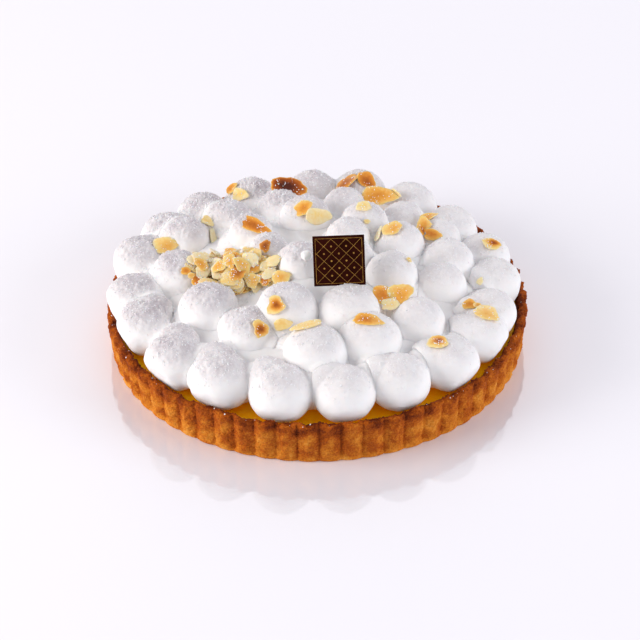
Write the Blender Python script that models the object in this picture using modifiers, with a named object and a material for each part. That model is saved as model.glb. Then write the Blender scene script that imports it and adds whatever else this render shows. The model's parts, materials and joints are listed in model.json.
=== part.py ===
"""A round lemon tart: fluted crust, lemon curd, piped meringue, flaked almonds and a chocolate plaque.

Lengths are metres, +Z is up, and the origin is the centre of the crust's underside. An azimuth of 0
points to the front of the tart, -Y, and grows towards +X.
"""

import math
import random

import bmesh
import bpy
from mathutils import Matrix, Vector

MM = 0.001
NAME = "lemon_tart"
GAP = 0.3 * MM

# The crust, baked in a fluted tin 250 mm across and 25 mm deep
RIM_RADIUS = 125.0 * MM
FOOT_RADIUS = 122.6 * MM
WALL_HEIGHT = 25.6 * MM
WALL = 3.6 * MM
FLOOR = 3.5 * MM
FLUTES = 62
FLUTE_DEPTH = 2.4 * MM
FLUTE_START = -57.8
FLUTE_ROUNDNESS = 0.8
STEPS_PER_FLUTE = 4
RIM_CROWN = 1.0 * MM
RIM_CRAG = 0.7 * MM

# The curd stands a little below the rim
CURD_TOP = 19.5 * MM
CURD_SIDES = 62

# Piped mounds: azimuth, distance from the axis and radius, the last two in mm
OUTER_RING = (
    (-11.5, 103.5, 18.3), (8.2, 103.4, 17.9), (26.4, 103.3, 17.7), (44.9, 107.0, 17.1),
    (62.3, 106.3, 16.7), (73.9, 104.8, 16.3), (91.5, 105.6, 16.0), (105.6, 104.4, 16.3),
    (125.1, 100.4, 16.5), (145.0, 101.1, 17.4), (164.4, 101.5, 17.5), (181.3, 97.9, 17.2),
    (203.3, 99.9, 16.8), (222.7, 102.6, 16.7), (239.8, 104.5, 17.1), (255.7, 109.3, 17.4),
    (276.1, 108.3, 17.2), (291.0, 107.6, 16.6), (311.3, 107.6, 18.0), (328.7, 104.6, 18.2),
)
SECOND_RING = (
    (-0.8, 76.0, 18.5), (24.4, 72.5, 18.8), (49.8, 75.9, 16.3), (79.9, 74.2, 15.4),
    (98.0, 78.8, 16.2), (116.2, 81.4, 14.6), (135.5, 75.7, 14.7), (165.6, 72.3, 14.9),
    (197.2, 71.2, 15.5), (222.9, 77.8, 15.4), (243.4, 87.2, 14.6), (268.6, 82.0, 16.1),
    (298.4, 71.6, 17.6), (324.5, 68.8, 16.8),
)
THIRD_RING = (
    (-20.7, 48.1, 18.0), (22.9, 48.8, 18.2), (74.7, 45.6, 15.5), (111.8, 53.9, 14.6),
    (144.7, 50.2, 15.3), (187.0, 49.4, 15.4), (229.8, 51.1, 13.4), (266.4, 48.1, 13.0),
    (300.2, 49.7, 14.0),
)
CENTRE_RING = ((92.7, 21.0, 13.2), (139.2, 29.1, 13.4), (250.3, 29.7, 11.5), (299.0, 10.3, 14.5))
OUTER_HEIGHT = 33.0 * MM
SECOND_HEIGHT = 41.0 * MM
THIRD_HEIGHT = 49.0 * MM
CENTRE_HEIGHT = 53.0 * MM
ACROSS_SIDES = 12
UP_SIDES = 7
SMALL_MOUND = 15.0 * MM
NEIGHBOURHOOD = 62.0 * MM

# How a mound's foot spreads and squares off below its middle
SQUAREST = 4.0
FOOT_SPREAD = 0.65
FOOT_QUICK = 4.0
FOOT_REACH = 1.1
FOOT_TURN = 1.5

# Height above a mound's middle as a share of its radius: the front ones sat down more
OUTER_FLATNESS = 0.96
OUTER_FLATTER = 0.08
SAT_DOWN = {
    ("second", 1): 0.92, ("second", 2): 0.92, ("second", 14): 0.92, ("third", 1): 0.90, ("third", 2): 0.76,
}

# The outer mounds lean on the rim by flat faces to each side of their own azimuth
RIM_LEAN = 26.0
RIM_SIDES = (-7.0, 0.0, 7.0)

# The tail that the nozzle pulled, as shares of a mound's own radius
TAIL_SIZE = 0.66
TAIL_OUT = 0.8
TAIL_LIFT = 0.16
TAIL_TURN = 33.0
TAIL_TURN_CHANGE = 15.0
TAILS_FROM = -70.0
TAILS_TO = 95.0

# The heap of flakes, and the two mounds that it lies on
HEAP_CENTRE = Vector((-46.5, -5.0, 50.5)) * MM
HEAP_ACROSS = 21.5 * MM
HEAP_UP = 6.0 * MM
HEAP_UNDERSIDE = 45.5 * MM
UNDER_HEAP = 21.0 * MM
HEAP_SINK = 0.6
HEAP_FLAKES = 22
HEAP_REACH = 0.95
HEAP_TILT = 28.0
HEAP_TURN = 0.3
HEAP_LIFT = 1.6 * MM
HEAP_LENGTHS = (11.0 * MM, 15.5 * MM)
HEAP_WIDTHS = (7.5 * MM, 9.5 * MM)
HEAP_SEED = 11

# Loose flakes: the place of the middle, the length and width in mm, and the heading of the long axis
FLAKES = (
    (-52, 90, 9.5, 8.0, 15), (-47, 82, 12.5, 8.0, -15), (-17, 73.5, 22.0, 12.5, -8),
    (2, 38, 19.0, 10.0, -5), (-8, 40, 13.5, 9.0, 13), (-37, 25.5, 23.0, 8.5, -33),
    (-90, 26, 16.0, 11.0, 5), (-66, 46, 10.5, 6.5, -10), (-62, 38, 12.0, 5.0, -55),
    (-76.5, -9, 6.5, 5.0, -5), (-23.5, -56.5, 12.0, 11.5, -18), (-32.5, -66.5, 11.5, 10.5, 22),
    (-19.5, -63.5, 11.0, 7.0, 25), (-6, -70, 19.0, 8.5, 6), (19.5, 90, 19.0, 9.5, 45),
    (32, 91, 15.0, 9.5, -45), (39, 79, 24.0, 12.0, 4), (49.5, 74, 9.0, 5.0, -30),
    (29, 38.5, 9.5, 7.0, 0), (37, 21.5, 11.0, 8.5, 35), (45, 18, 13.0, 11.0, 6),
    (67.5, 42, 13.0, 6.5, 10), (65, 35, 11.0, 8.0, -25), (69, 26, 13.0, 7.0, -9),
    (105, 22.5, 12.0, 8.5, -1), (36, -38.5, 13.0, 11.5, -25), (47, -35.5, 17.0, 13.5, 20),
    (29.5, -68, 18.0, 8.5, -8), (88.5, -37.5, 9.0, 7.0, -20), (97.5, -48.5, 16.5, 12.5, -48),
    (68.5, -76, 12.5, 11.0, -20), (-30, 1, 10.0, 6.5, 60), (-25, -9, 10.0, 7.5, 10),
    (-20.5, -19, 12.0, 9.5, 20), (-72, 6, 12.0, 8.0, 70), (-70, -14, 12.0, 8.0, -45),
    (-62, 20, 12.0, 8.0, 40), (-50, 24, 12.0, 8.0, 15),
)
DROP_FROM = 80.0 * MM
DROP_STEP = 0.25 * MM
FLAKE_HANG = 0.12
FLAKE_THICK = 1.1 * MM
FLAKE_SIDES = 7
FLAKE_SINK = 0.45 * MM
FLAKE_TAPER = 0.22
FLAKE_BEND = 0.09
FLAKE_ROOM = 0.45 * MM
TRIM_WITHIN = 1.6

# The plaque leans back, with its foot in a mound of the third ring
PLAQUE_WIDE = 29.8 * MM
PLAQUE_TALL = 29.4 * MM
PLAQUE_THICK = 1.4 * MM
PLAQUE_FOOT = Vector((13.6, -33.0, 58.2)) * MM
PLAQUE_LEAN = 23.0
PLAQUE_ROLL = -1.7
PLAQUE_EDGE = 0.25 * MM
PLAQUE_HOST = "meringue_third_02"

CRUST_COLOUR = (0.45, 0.19, 0.06, 1.0)
CURD_COLOUR = (0.62, 0.33, 0.02, 1.0)
MERINGUE_COLOUR = (0.91, 0.89, 0.90, 1.0)
ALMOND_COLOUR = (0.78, 0.45, 0.13, 1.0)
CHOCOLATE_COLOUR = (0.028, 0.012, 0.008, 1.0)


def clear_scene():
    """Remove every object of the starting scene."""
    for obj in list(bpy.data.objects):
        bpy.data.objects.remove(obj, do_unlink=True)


def new_collection(name, hidden=False):
    """A collection in the scene; a hidden one holds cutters."""
    group = bpy.data.collections.new(name)
    bpy.context.scene.collection.children.link(group)
    group.hide_render = hidden
    return group


def material(name, colour, roughness):
    """A plain material of one colour."""
    made = bpy.data.materials.new(name)
    made.use_nodes = True
    shader = made.node_tree.nodes["Principled BSDF"]
    shader.inputs["Base Color"].default_value = colour
    shader.inputs["Roughness"].default_value = roughness
    shader.inputs["Metallic"].default_value = 0.0
    return made


def mesh_object(name, shape, group, finish):
    """An object made from a bmesh, which is freed."""
    mesh = bpy.data.meshes.new(name)
    shape.to_mesh(mesh)
    shape.free()
    obj = bpy.data.objects.new(name, mesh)
    obj.data.materials.append(finish)
    group.objects.link(obj)
    return obj


def apply_boolean(obj, operation, other):
    """Join obj with another object, or cut it by the other."""
    change = obj.modifiers.new("boolean", "BOOLEAN")
    change.operation = operation
    change.material_mode = "TRANSFER"
    change.object = other
    bpy.context.view_layer.objects.active = obj
    bpy.ops.object.modifier_apply(modifier=change.name)


def plan_direction(azimuth):
    """The level unit vector that points to an azimuth in degrees."""
    angle = math.radians(azimuth)
    return Vector((math.sin(angle), -math.cos(angle), 0.0))


def flute_bulge(azimuth):
    """How far a flute stands out of its creases at an azimuth, from 0 to 1."""
    along = ((azimuth - FLUTE_START) * FLUTES / 360.0) % 1.0
    return math.sin(math.pi * along) ** FLUTE_ROUNDNESS


def rim_waver(azimuth):
    """The crags of the baked rim, from -1 to 1."""
    angle = math.radians(azimuth)
    return (math.sin(11 * angle + 1.0) + math.sin(29 * angle) + math.sin(67 * angle + 2.0)) / 3.0


def inner_radius(height):
    """Radius of the crust's inner wall at a height."""
    outer = FOOT_RADIUS + (RIM_RADIUS - FOOT_RADIUS) * height / WALL_HEIGHT
    return outer - FLUTE_DEPTH - WALL


def build_crust(group):
    """The shell: a turned profile whose outer points are then pushed into flutes and its rim into crags."""
    crest = WALL_HEIGHT + RIM_CROWN
    profile = (
        (0.0, 0.0),
        (FOOT_RADIUS - FLUTE_DEPTH, 0.0),
        (RIM_RADIUS - FLUTE_DEPTH, WALL_HEIGHT),
        (RIM_RADIUS - FLUTE_DEPTH - 0.5 * WALL, crest),
        (inner_radius(WALL_HEIGHT), WALL_HEIGHT),
        (inner_radius(FLOOR), FLOOR),
        (0.0, FLOOR),
    )
    shape = bmesh.new()
    points = [shape.verts.new((radius, 0.0, height)) for radius, height in profile]
    edges = [shape.edges.new(pair) for pair in zip(points, points[1:])]
    bmesh.ops.spin(
        shape, geom=points + edges, cent=(0, 0, 0), axis=(0, 0, 1),
        angle=math.tau, steps=FLUTES * STEPS_PER_FLUTE, use_merge=True,
    )
    bmesh.ops.remove_doubles(shape, verts=shape.verts, dist=0.01 * MM)
    bmesh.ops.rotate(
        shape, verts=shape.verts, cent=(0, 0, 0),
        matrix=Matrix.Rotation(math.radians(FLUTE_START - 90.0), 3, "Z"),
    )
    for vert in shape.verts:
        radius = vert.co.xy.length
        height = vert.co.z
        if radius < 1 * MM:
            continue
        azimuth = math.degrees(math.atan2(vert.co.x, -vert.co.y))
        outer = FOOT_RADIUS + (RIM_RADIUS - FOOT_RADIUS) * height / WALL_HEIGHT - FLUTE_DEPTH
        push = 0.0
        if abs(radius - outer) < 0.1 * MM:
            push = FLUTE_DEPTH * flute_bulge(azimuth)
        elif height > WALL_HEIGHT + 0.5 * RIM_CROWN:
            push = 0.5 * FLUTE_DEPTH * flute_bulge(azimuth)
            vert.co.z += RIM_CRAG * rim_waver(azimuth)
        vert.co.x *= 1 + push / radius
        vert.co.y *= 1 + push / radius
    bmesh.ops.recalc_face_normals(shape, faces=shape.faces)
    crust = mesh_object("crust", shape, group, material("baked_crust", CRUST_COLOUR, 0.8))
    crust.data.set_sharp_from_angle(angle=math.radians(40))
    return crust


def build_curd(group):
    """The set curd, which fills the shell."""
    bottom = FLOOR + GAP
    shape = bmesh.new()
    bmesh.ops.create_cone(
        shape, cap_ends=True, segments=CURD_SIDES,
        radius1=inner_radius(bottom) - GAP, radius2=inner_radius(CURD_TOP) - GAP,
        depth=CURD_TOP - bottom, matrix=Matrix.Translation((0, 0, 0.5 * (CURD_TOP + bottom))),
    )
    return mesh_object("lemon_curd", shape, group, material("lemon_curd", CURD_COLOUR, 0.25))


class Mound:
    """A piped mound, pressed flat against its neighbours, the curd and the rim.

    Its surface is a distance from its centre in each direction, so it's one closed piece however
    many flat faces press on it.
    """

    def __init__(self, name, centre, across, up, tail=None):
        self.name = name
        self.centre = centre
        self.across = across
        self.up = up
        self.tail = tail
        self.outer = "outer" in name
        self.faces = []

    def press(self, normal, distance):
        """Keep the mound on the near side of a plane."""
        self.faces.append((normal, distance))

    def spread_share(self, way):
        """How much the foot spreads on this side: not towards the rim, where the curd shows."""
        if not self.outer:
            return 1.0
        level = max(1e-6, math.hypot(way.x, way.y) * self.centre.xy.length)
        inward = -(way.x * self.centre.x + way.y * self.centre.y) / level
        return min(1.0, max(0.0, FOOT_TURN * inward))

    def free_reach(self, way):
        """Distance to the surface along a unit vector, before anything presses on it."""
        spread = 1 + FOOT_SPREAD * self.spread_share(way) * min(1.0, max(0.0, -FOOT_QUICK * way.z))
        level = math.hypot(way.x, way.y) / (self.across * spread)
        if way.z >= 0:
            reach = math.hypot(level, way.z / self.up) ** -1
        else:
            foot = max(self.up, FOOT_REACH * (self.centre.z - CURD_TOP))
            power = SQUAREST if foot > self.up else 2.0
            reach = (level ** power + (-way.z / foot) ** power) ** (-1 / power)
        if self.tail:
            along = way.dot(self.tail)
            ball = TAIL_SIZE * self.across
            inside = along ** 2 - self.tail.length_squared + ball ** 2
            if along > 0 and inside > 0:
                reach = max(reach, along + math.sqrt(inside))
        return reach

    def reach(self, way):
        """Distance to the surface along a unit vector, with all the faces pressed in."""
        reach = self.free_reach(way)
        for normal, distance in self.faces:
            lean = normal.dot(way)
            if lean > 1e-6:
                reach = min(reach, distance / lean)
        return reach

    def distance_to(self, point):
        """How far a point is from the surface, along the line from the centre."""
        away = point - self.centre
        return away.length - self.reach(away.normalized())

    def build(self, name, group, finish, room=0.0):
        """The mound's closed mesh, larger all round by some room."""
        shape = bmesh.new()
        sides = ACROSS_SIDES if self.across > SMALL_MOUND else ACROSS_SIDES - 1
        bmesh.ops.create_uvsphere(shape, u_segments=sides, v_segments=UP_SIDES, radius=1.0)
        for vert in shape.verts:
            way = vert.co.normalized()
            vert.co = way * (self.reach(way) + room)
        bmesh.ops.triangulate(shape, faces=shape.faces)
        obj = mesh_object(name, shape, group, finish)
        obj.location = self.centre
        obj.data.shade_smooth()
        return obj


def tail_of(azimuth, across):
    """The offset of the tail's ball: inwards, and turned the way the nozzle went round."""
    turn = math.radians(TAIL_TURN + TAIL_TURN_CHANGE * math.cos(math.radians(azimuth)))
    inward = -plan_direction(azimuth)
    offset = Matrix.Rotation(turn, 3, "Z") @ inward * TAIL_OUT * across
    offset.z = TAIL_LIFT * across
    return offset


def flatness(ring, number, azimuth):
    """A mound's height above its middle as a share of its radius."""
    if ring == "outer":
        return min(1.0, OUTER_FLATNESS - OUTER_FLATTER * math.cos(math.radians(azimuth)))
    return SAT_DOWN.get((ring, number), 1.0)


def under_heap(centre):
    """Whether a mound lies under the heap of almonds."""
    return (centre - HEAP_CENTRE).xy.length < UNDER_HEAP


def lay_out_mounds():
    """All the mounds, ring by ring, with the planes that press them."""
    rings = (
        ("outer", OUTER_RING, OUTER_HEIGHT),
        ("second", SECOND_RING, SECOND_HEIGHT),
        ("third", THIRD_RING, THIRD_HEIGHT),
        ("centre", CENTRE_RING, CENTRE_HEIGHT),
    )
    mounds = []
    for ring, places, height in rings:
        for number, (azimuth, distance, radius) in enumerate(places, start=1):
            centre = plan_direction(azimuth) * distance * MM
            across = radius * MM
            centre.z = HEAP_UNDERSIDE - HEAP_SINK * across if under_heap(centre) else height
            signed = (azimuth + 180.0) % 360.0 - 180.0
            tailed = ring == "outer" and TAILS_FROM < signed < TAILS_TO
            tail = tail_of(azimuth, across) if tailed else None
            up = across * flatness(ring, number, azimuth)
            mounds.append(Mound(f"meringue_{ring}_{number:02d}", centre, across, up, tail))
    return mounds


def press_pair(first, second):
    """Part two neighbours by the plane in which their surfaces would cross."""
    apart = second.centre - first.centre
    distance = apart.length
    normal = apart / distance
    split = (distance ** 2 + first.across ** 2 - second.across ** 2) / (2 * distance)
    first.press(normal, split - 0.5 * GAP)
    second.press(-normal, distance - split - 0.5 * GAP)


def press_mounds(mounds, heap):
    """Press each mound against its neighbours, the curd, the rim and the heap of almonds."""
    pieces = mounds + [heap]
    for index, first in enumerate(pieces):
        for second in pieces[index + 1:]:
            if (second.centre - first.centre).length < NEIGHBOURHOOD:
                if second is heap and under_heap(first.centre):
                    first.press(Vector((0, 0, 1)), HEAP_UNDERSIDE - GAP - first.centre.z)
                else:
                    press_pair(first, second)
    heap.press(Vector((0, 0, -1)), heap.centre.z - HEAP_UNDERSIDE)
    down = Vector((0, 0, -1))
    rim_height = WALL_HEIGHT + RIM_CROWN + RIM_CRAG + GAP
    rim_radius = inner_radius(WALL_HEIGHT) - GAP
    lean = math.radians(RIM_LEAN)
    for mound in mounds:
        mound.press(down, mound.centre.z - CURD_TOP - GAP)
        if not mound.outer:
            continue
        azimuth = math.degrees(math.atan2(mound.centre.x, -mound.centre.y))
        for side in RIM_SIDES:
            outward = plan_direction(azimuth + side)
            edge = outward * rim_radius + Vector((0, 0, rim_height))
            normal = outward * math.cos(lean) + down * math.sin(lean)
            mound.press(normal, normal.dot(edge - mound.centre))


def surface_frame(host, way, heading):
    """The place and the axes of a flake that lies on a mound: its long axis follows a heading."""
    place = host.centre + way * host.reach(way)
    flat = Vector((way.x / host.across ** 2, way.y / host.across ** 2, way.z / host.up ** 2))
    normal = flat.normalized()
    angle = math.radians(heading)
    along = Vector((math.cos(angle), math.sin(angle), 0.0))
    along = (along - normal * along.dot(normal)).normalized()
    return place, normal, along


def build_flake(name, group, place, normal, along, size, room=0.0):
    """One thin almond flake, pointed at one end and bent over what it lies on, or the room it takes."""
    length = size[0] + 2 * room
    width = size[1] + 2 * room
    across = normal.cross(along)
    axes = Matrix((along, across, normal)).transposed()
    shape = bmesh.new()
    bmesh.ops.create_cone(
        shape, cap_ends=True, cap_tris=True, segments=FLAKE_SIDES,
        radius1=1.0, radius2=1.0, depth=FLAKE_THICK + 2 * room,
    )
    for vert in shape.verts:
        x, y, z = vert.co
        flat = Vector((
            0.5 * length * x,
            0.5 * width * y * (1 - FLAKE_TAPER * x),
            z - FLAKE_BEND * size[0] * x * x,
        ))
        vert.co = place + axes @ flat + normal * (0.5 * FLAKE_THICK - FLAKE_SINK)
    bmesh.ops.triangulate(shape, faces=shape.faces)
    return mesh_object(name, shape, group, bpy.data.materials["toasted_almond"])


def trim_flake(flake, host, pieces, rooms, laid):
    """Cut away what would sink into any piece but the host, or into a flake on one, with a small gap."""
    middle = sum((vert.co for vert in flake.data.vertices), Vector()) / len(flake.data.vertices)
    half = max((vert.co - middle).length for vert in flake.data.vertices)
    cutters = [
        rooms[piece.name] for piece in pieces
        if piece is not host and piece.distance_to(middle) < TRIM_WITHIN * half
    ]
    cutters += [
        room for other, place, reach, room in laid
        if other is not host and (place - middle).length < TRIM_WITHIN * half + reach
    ]
    for cutter in cutters:
        apply_boolean(flake, "DIFFERENCE", cutter)
        if not flake.data.polygons:
            bpy.data.objects.remove(flake, do_unlink=True)
            return


def lay_flake(name, groups, frame, size, host, pieces, rooms, laid):
    """Add one flake, trimmed where it meets what isn't its host, and note the room it takes."""
    group, cutters = groups
    flake = build_flake(name, group, *frame, size)
    trim_flake(flake, host, pieces, rooms, laid)
    room = build_flake(f"room_{name}", cutters, *frame, size, FLAKE_ROOM)
    laid.append((host, frame[0], 0.5 * size[0] + FLAKE_ROOM, room))


def keep_largest(obj):
    """Drop loose scraps and fill sealed hollows: only the largest surface of the mesh stays."""
    shape = bmesh.new()
    shape.from_mesh(obj.data)
    left = set(shape.verts)
    islands = []
    while left:
        island = set()
        edge = [left.pop()]
        while edge:
            vert = edge.pop()
            island.add(vert)
            for link in vert.link_edges:
                other = link.other_vert(vert)
                if other in left:
                    left.remove(other)
                    edge.append(other)
        islands.append(island)
    islands.sort(key=len, reverse=True)
    for island in islands[1:]:
        bmesh.ops.delete(shape, geom=list(island), context="VERTS")
    shape.to_mesh(obj.data)
    shape.free()


def fuse(obj, group):
    """Join the pieces of a collection to an object one by one, and remove the collection."""
    for piece in sorted(group.objects, key=lambda piece: piece.name):
        apply_boolean(obj, "UNION", piece)
        bpy.data.objects.remove(piece, do_unlink=True)
    keep_largest(obj)
    bpy.data.collections.remove(group)


def landing(hosts, x, y, near):
    """The mound that a flake dropped at a place comes near to first, and where it is then."""
    point = Vector((x, y, DROP_FROM))
    while point.z > CURD_TOP:
        for host in hosts:
            if host.distance_to(point) < near:
                return host, point
        point.z -= DROP_STEP
    raise ValueError(f"no mound lies at {x}, {y}")


def lay_flakes(pieces, rooms, laid, objects, cutters):
    """Drop each loose flake on the mounds, and fuse it where it lands."""
    hosts = [piece for piece in pieces if piece.name in objects]
    groups = {}
    for number, (x, y, length, width, heading) in enumerate(FLAKES, start=1):
        host, middle = landing(hosts, x * MM, y * MM, FLAKE_HANG * length * MM)
        frame = surface_frame(host, (middle - host.centre).normalized(), heading)
        if host.name not in groups:
            groups[host.name] = new_collection(f"on_{host.name}")
        lay_flake(
            f"flake_{number:02d}", (groups[host.name], cutters), frame,
            (length * MM, width * MM), host, pieces, rooms, laid,
        )
    for name, group in groups.items():
        fuse(objects[name], group)


def build_heap(heap, pieces, rooms, laid, group, cutters):
    """The heap: a low core with flakes over all of it, out to its uneven outline."""
    core = heap.build(heap.name, group, bpy.data.materials["toasted_almond"])
    rng = random.Random(HEAP_SEED)
    flakes = new_collection("heap_flakes")
    golden = math.pi * (3 - math.sqrt(5))
    for number in range(HEAP_FLAKES):
        spread = HEAP_REACH * math.sqrt((number + 0.5) / HEAP_FLAKES)
        angle = golden * number + rng.uniform(-HEAP_TURN, HEAP_TURN)
        level = Vector((math.cos(angle), math.sin(angle), 0.0)) * spread * heap.across
        lift = heap.up * math.sqrt(max(0.0, 1 - spread ** 2))
        way = (level + Vector((0, 0, lift))).normalized()
        place, normal, along = surface_frame(heap, way, rng.uniform(0, 360))
        tilt = Matrix.Rotation(math.radians(rng.uniform(-HEAP_TILT, HEAP_TILT)), 3, along)
        size = (rng.uniform(*HEAP_LENGTHS), rng.uniform(*HEAP_WIDTHS))
        place += normal * rng.uniform(0.0, HEAP_LIFT)
        lay_flake(
            f"heap_flake_{number:02d}", (flakes, cutters), (place, tilt @ normal, along),
            size, heap, pieces, rooms, laid,
        )
    fuse(core, flakes)


def plaque_box(name, group, room):
    """The plaque's slab at its place, larger all round by some room."""
    shape = bmesh.new()
    bmesh.ops.create_cube(shape, size=1.0)
    size = Vector((PLAQUE_WIDE, PLAQUE_THICK, PLAQUE_TALL)) + Vector((1, 1, 1)) * 2 * room
    bmesh.ops.scale(shape, vec=size, verts=shape.verts)
    bmesh.ops.translate(shape, vec=(0, 0, 0.5 * PLAQUE_TALL), verts=shape.verts)
    obj = mesh_object(name, shape, group, bpy.data.materials["dark_chocolate"])
    obj.location = PLAQUE_FOOT
    obj.rotation_euler = (math.radians(-PLAQUE_LEAN), math.radians(PLAQUE_ROLL), 0.0)
    return obj


def build_plaque(group, cutters, objects):
    """The plaque, and the slot that holds its foot."""
    plaque = plaque_box("chocolate_plaque", group, 0.0)
    edge = plaque.modifiers.new("edge", "BEVEL")
    edge.width = PLAQUE_EDGE
    edge.segments = 1
    slot = plaque_box("plaque_slot", cutters, GAP)
    bpy.context.view_layer.update()
    apply_boolean(objects[PLAQUE_HOST], "DIFFERENCE", slot)
    return plaque


def main():
    clear_scene()
    parts = new_collection(NAME)
    cutters = new_collection("cutters", hidden=True)
    meringue = material("meringue", MERINGUE_COLOUR, 0.85)
    material("toasted_almond", ALMOND_COLOUR, 0.5)
    material("dark_chocolate", CHOCOLATE_COLOUR, 0.35)
    build_crust(parts)
    build_curd(parts)
    mounds = lay_out_mounds()
    heap = Mound("almond_heap", HEAP_CENTRE, HEAP_ACROSS, HEAP_UP)
    press_mounds(mounds, heap)
    objects = {mound.name: mound.build(mound.name, parts, meringue) for mound in mounds}
    pieces = mounds + [heap]
    rooms = {
        piece.name: piece.build(f"room_{piece.name}", cutters, meringue, GAP) for piece in pieces
    }
    bpy.context.view_layer.update()
    laid = []
    lay_flakes(pieces, rooms, laid, objects, cutters)
    build_heap(heap, pieces, rooms, laid, parts, cutters)
    build_plaque(parts, cutters, objects)
    for cutter in list(cutters.objects):
        bpy.data.objects.remove(cutter, do_unlink=True)
    bpy.data.collections.remove(cutters)


main()
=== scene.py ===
"""The looks of a round lemon tart: fluted crust, lemon curd, piped meringue, flaked almonds and a plaque.

Lengths are metres, +Z is up, and the origin is the centre of the crust's underside. An azimuth of 0
points to the front of the tart, -Y, and grows towards +X. The sizes repeat those of the solids, so
each piece lies where its solid does.
"""

import json
import logging
import math
from collections.abc import Callable, Sequence
from dataclasses import dataclass, field
from enum import Enum
from typing import Any

import bpy
import numpy as np
from mathutils import Euler, Matrix, Vector

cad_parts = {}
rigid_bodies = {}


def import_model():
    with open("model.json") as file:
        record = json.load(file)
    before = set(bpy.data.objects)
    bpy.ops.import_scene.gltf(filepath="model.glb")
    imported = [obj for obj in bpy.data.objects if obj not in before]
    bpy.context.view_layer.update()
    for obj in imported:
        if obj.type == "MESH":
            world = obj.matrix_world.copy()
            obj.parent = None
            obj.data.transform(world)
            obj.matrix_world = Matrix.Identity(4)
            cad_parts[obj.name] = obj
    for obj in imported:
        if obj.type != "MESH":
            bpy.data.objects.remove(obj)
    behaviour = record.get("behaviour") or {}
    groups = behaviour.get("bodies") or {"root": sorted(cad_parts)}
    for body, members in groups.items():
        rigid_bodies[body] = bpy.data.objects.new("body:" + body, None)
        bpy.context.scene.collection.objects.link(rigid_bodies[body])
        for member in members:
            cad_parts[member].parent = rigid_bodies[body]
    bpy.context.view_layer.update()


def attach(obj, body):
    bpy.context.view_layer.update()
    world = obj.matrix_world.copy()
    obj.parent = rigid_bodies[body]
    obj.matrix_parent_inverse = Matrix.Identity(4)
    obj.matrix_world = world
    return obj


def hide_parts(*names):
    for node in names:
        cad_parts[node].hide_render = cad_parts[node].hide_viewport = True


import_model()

MM = 0.001
BODY = "root"
GAP = 0.3 * MM
LOG = logging.getLogger("lemon_tart")

# The crust, as in the solids
RIM_RADIUS = 125.0 * MM
FOOT_RADIUS = 122.6 * MM
WALL_HEIGHT = 25.6 * MM
WALL = 3.6 * MM
FLOOR = 3.5 * MM
FLUTES = 62
FLUTE_DEPTH = 2.4 * MM
FLUTE_START = -57.8
RIM_CROWN = 1.0 * MM
RIM_CRAG = 0.7 * MM
CURD_TOP = 19.5 * MM

# Piped mounds: azimuth, distance from the axis and radius, the last two in mm
OUTER_RING = (
    (-11.5, 103.5, 18.3), (8.2, 103.4, 17.9), (26.4, 103.3, 17.7), (44.9, 107.0, 17.1),
    (62.3, 106.3, 16.7), (73.9, 104.8, 16.3), (91.5, 105.6, 16.0), (105.6, 104.4, 16.3),
    (125.1, 100.4, 16.5), (145.0, 101.1, 17.4), (164.4, 101.5, 17.5), (181.3, 97.9, 17.2),
    (203.3, 99.9, 16.8), (222.7, 102.6, 16.7), (239.8, 104.5, 17.1), (255.7, 109.3, 17.4),
    (276.1, 108.3, 17.2), (291.0, 107.6, 16.6), (311.3, 107.6, 18.0), (328.7, 104.6, 18.2),
)
SECOND_RING = (
    (-0.8, 76.0, 18.5), (24.4, 72.5, 18.8), (49.8, 75.9, 16.3), (79.9, 74.2, 15.4),
    (98.0, 78.8, 16.2), (116.2, 81.4, 14.6), (135.5, 75.7, 14.7), (165.6, 72.3, 14.9),
    (197.2, 71.2, 15.5), (222.9, 77.8, 15.4), (243.4, 87.2, 14.6), (268.6, 82.0, 16.1),
    (298.4, 71.6, 17.6), (324.5, 68.8, 16.8),
)
THIRD_RING = (
    (-20.7, 48.1, 18.0), (22.9, 48.8, 18.2), (74.7, 45.6, 15.5), (111.8, 53.9, 14.6),
    (144.7, 50.2, 15.3), (187.0, 49.4, 15.4), (229.8, 51.1, 13.4), (266.4, 48.1, 13.0),
    (300.2, 49.7, 14.0),
)
CENTRE_RING = ((92.7, 21.0, 13.2), (139.2, 29.1, 13.4), (250.3, 29.7, 11.5), (299.0, 10.3, 14.5))
OUTER_HEIGHT = 33.0 * MM
SECOND_HEIGHT = 41.0 * MM
THIRD_HEIGHT = 49.0 * MM
CENTRE_HEIGHT = 53.0 * MM
SQUAREST = 4.0
FOOT_SPREAD = 0.65
FOOT_QUICK = 4.0
FOOT_REACH = 1.1
TAIL_SIZE = 0.66
TAIL_OUT = 0.8
TAIL_LIFT = 0.16
TAIL_BLEND = 7.0 * MM
TAILS_FROM = -70.0
TAILS_TO = 95.0
NEIGHBOURHOOD = 62.0 * MM
CREASE_ROUNDS = 5
REST_BLEND = 5.0 * MM

# The almond heap, and how the mounds under it lie
HEAP_CENTRE = np.array((-46.5, -5.0)) * MM
HEAP_UNDERSIDE = 45.5 * MM
UNDER_HEAP = 21.0 * MM
HEAP_SINK = 0.6

UP = np.array((0.0, 0.0, 1.0))


class Toast(Enum):
    """How an almond flake browned: the toast of its middle and of its edge, from 0 to 1."""

    PALE = (0.06, 0.00)
    STRAW = (0.15, 0.04)
    GOLD = (0.34, 0.10)
    AMBER = (0.50, 0.16)
    CARAMEL = (0.64, 0.26)
    DARK = (0.92, 0.40)
    SPOTTED = (0.74, 0.10)


class Relief(Enum):
    """The kinds of unevenness: round lumps, or ridges between hollows."""

    LUMPS = "CLOUDS"
    RIDGES = "MUSGRAVE"


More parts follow.
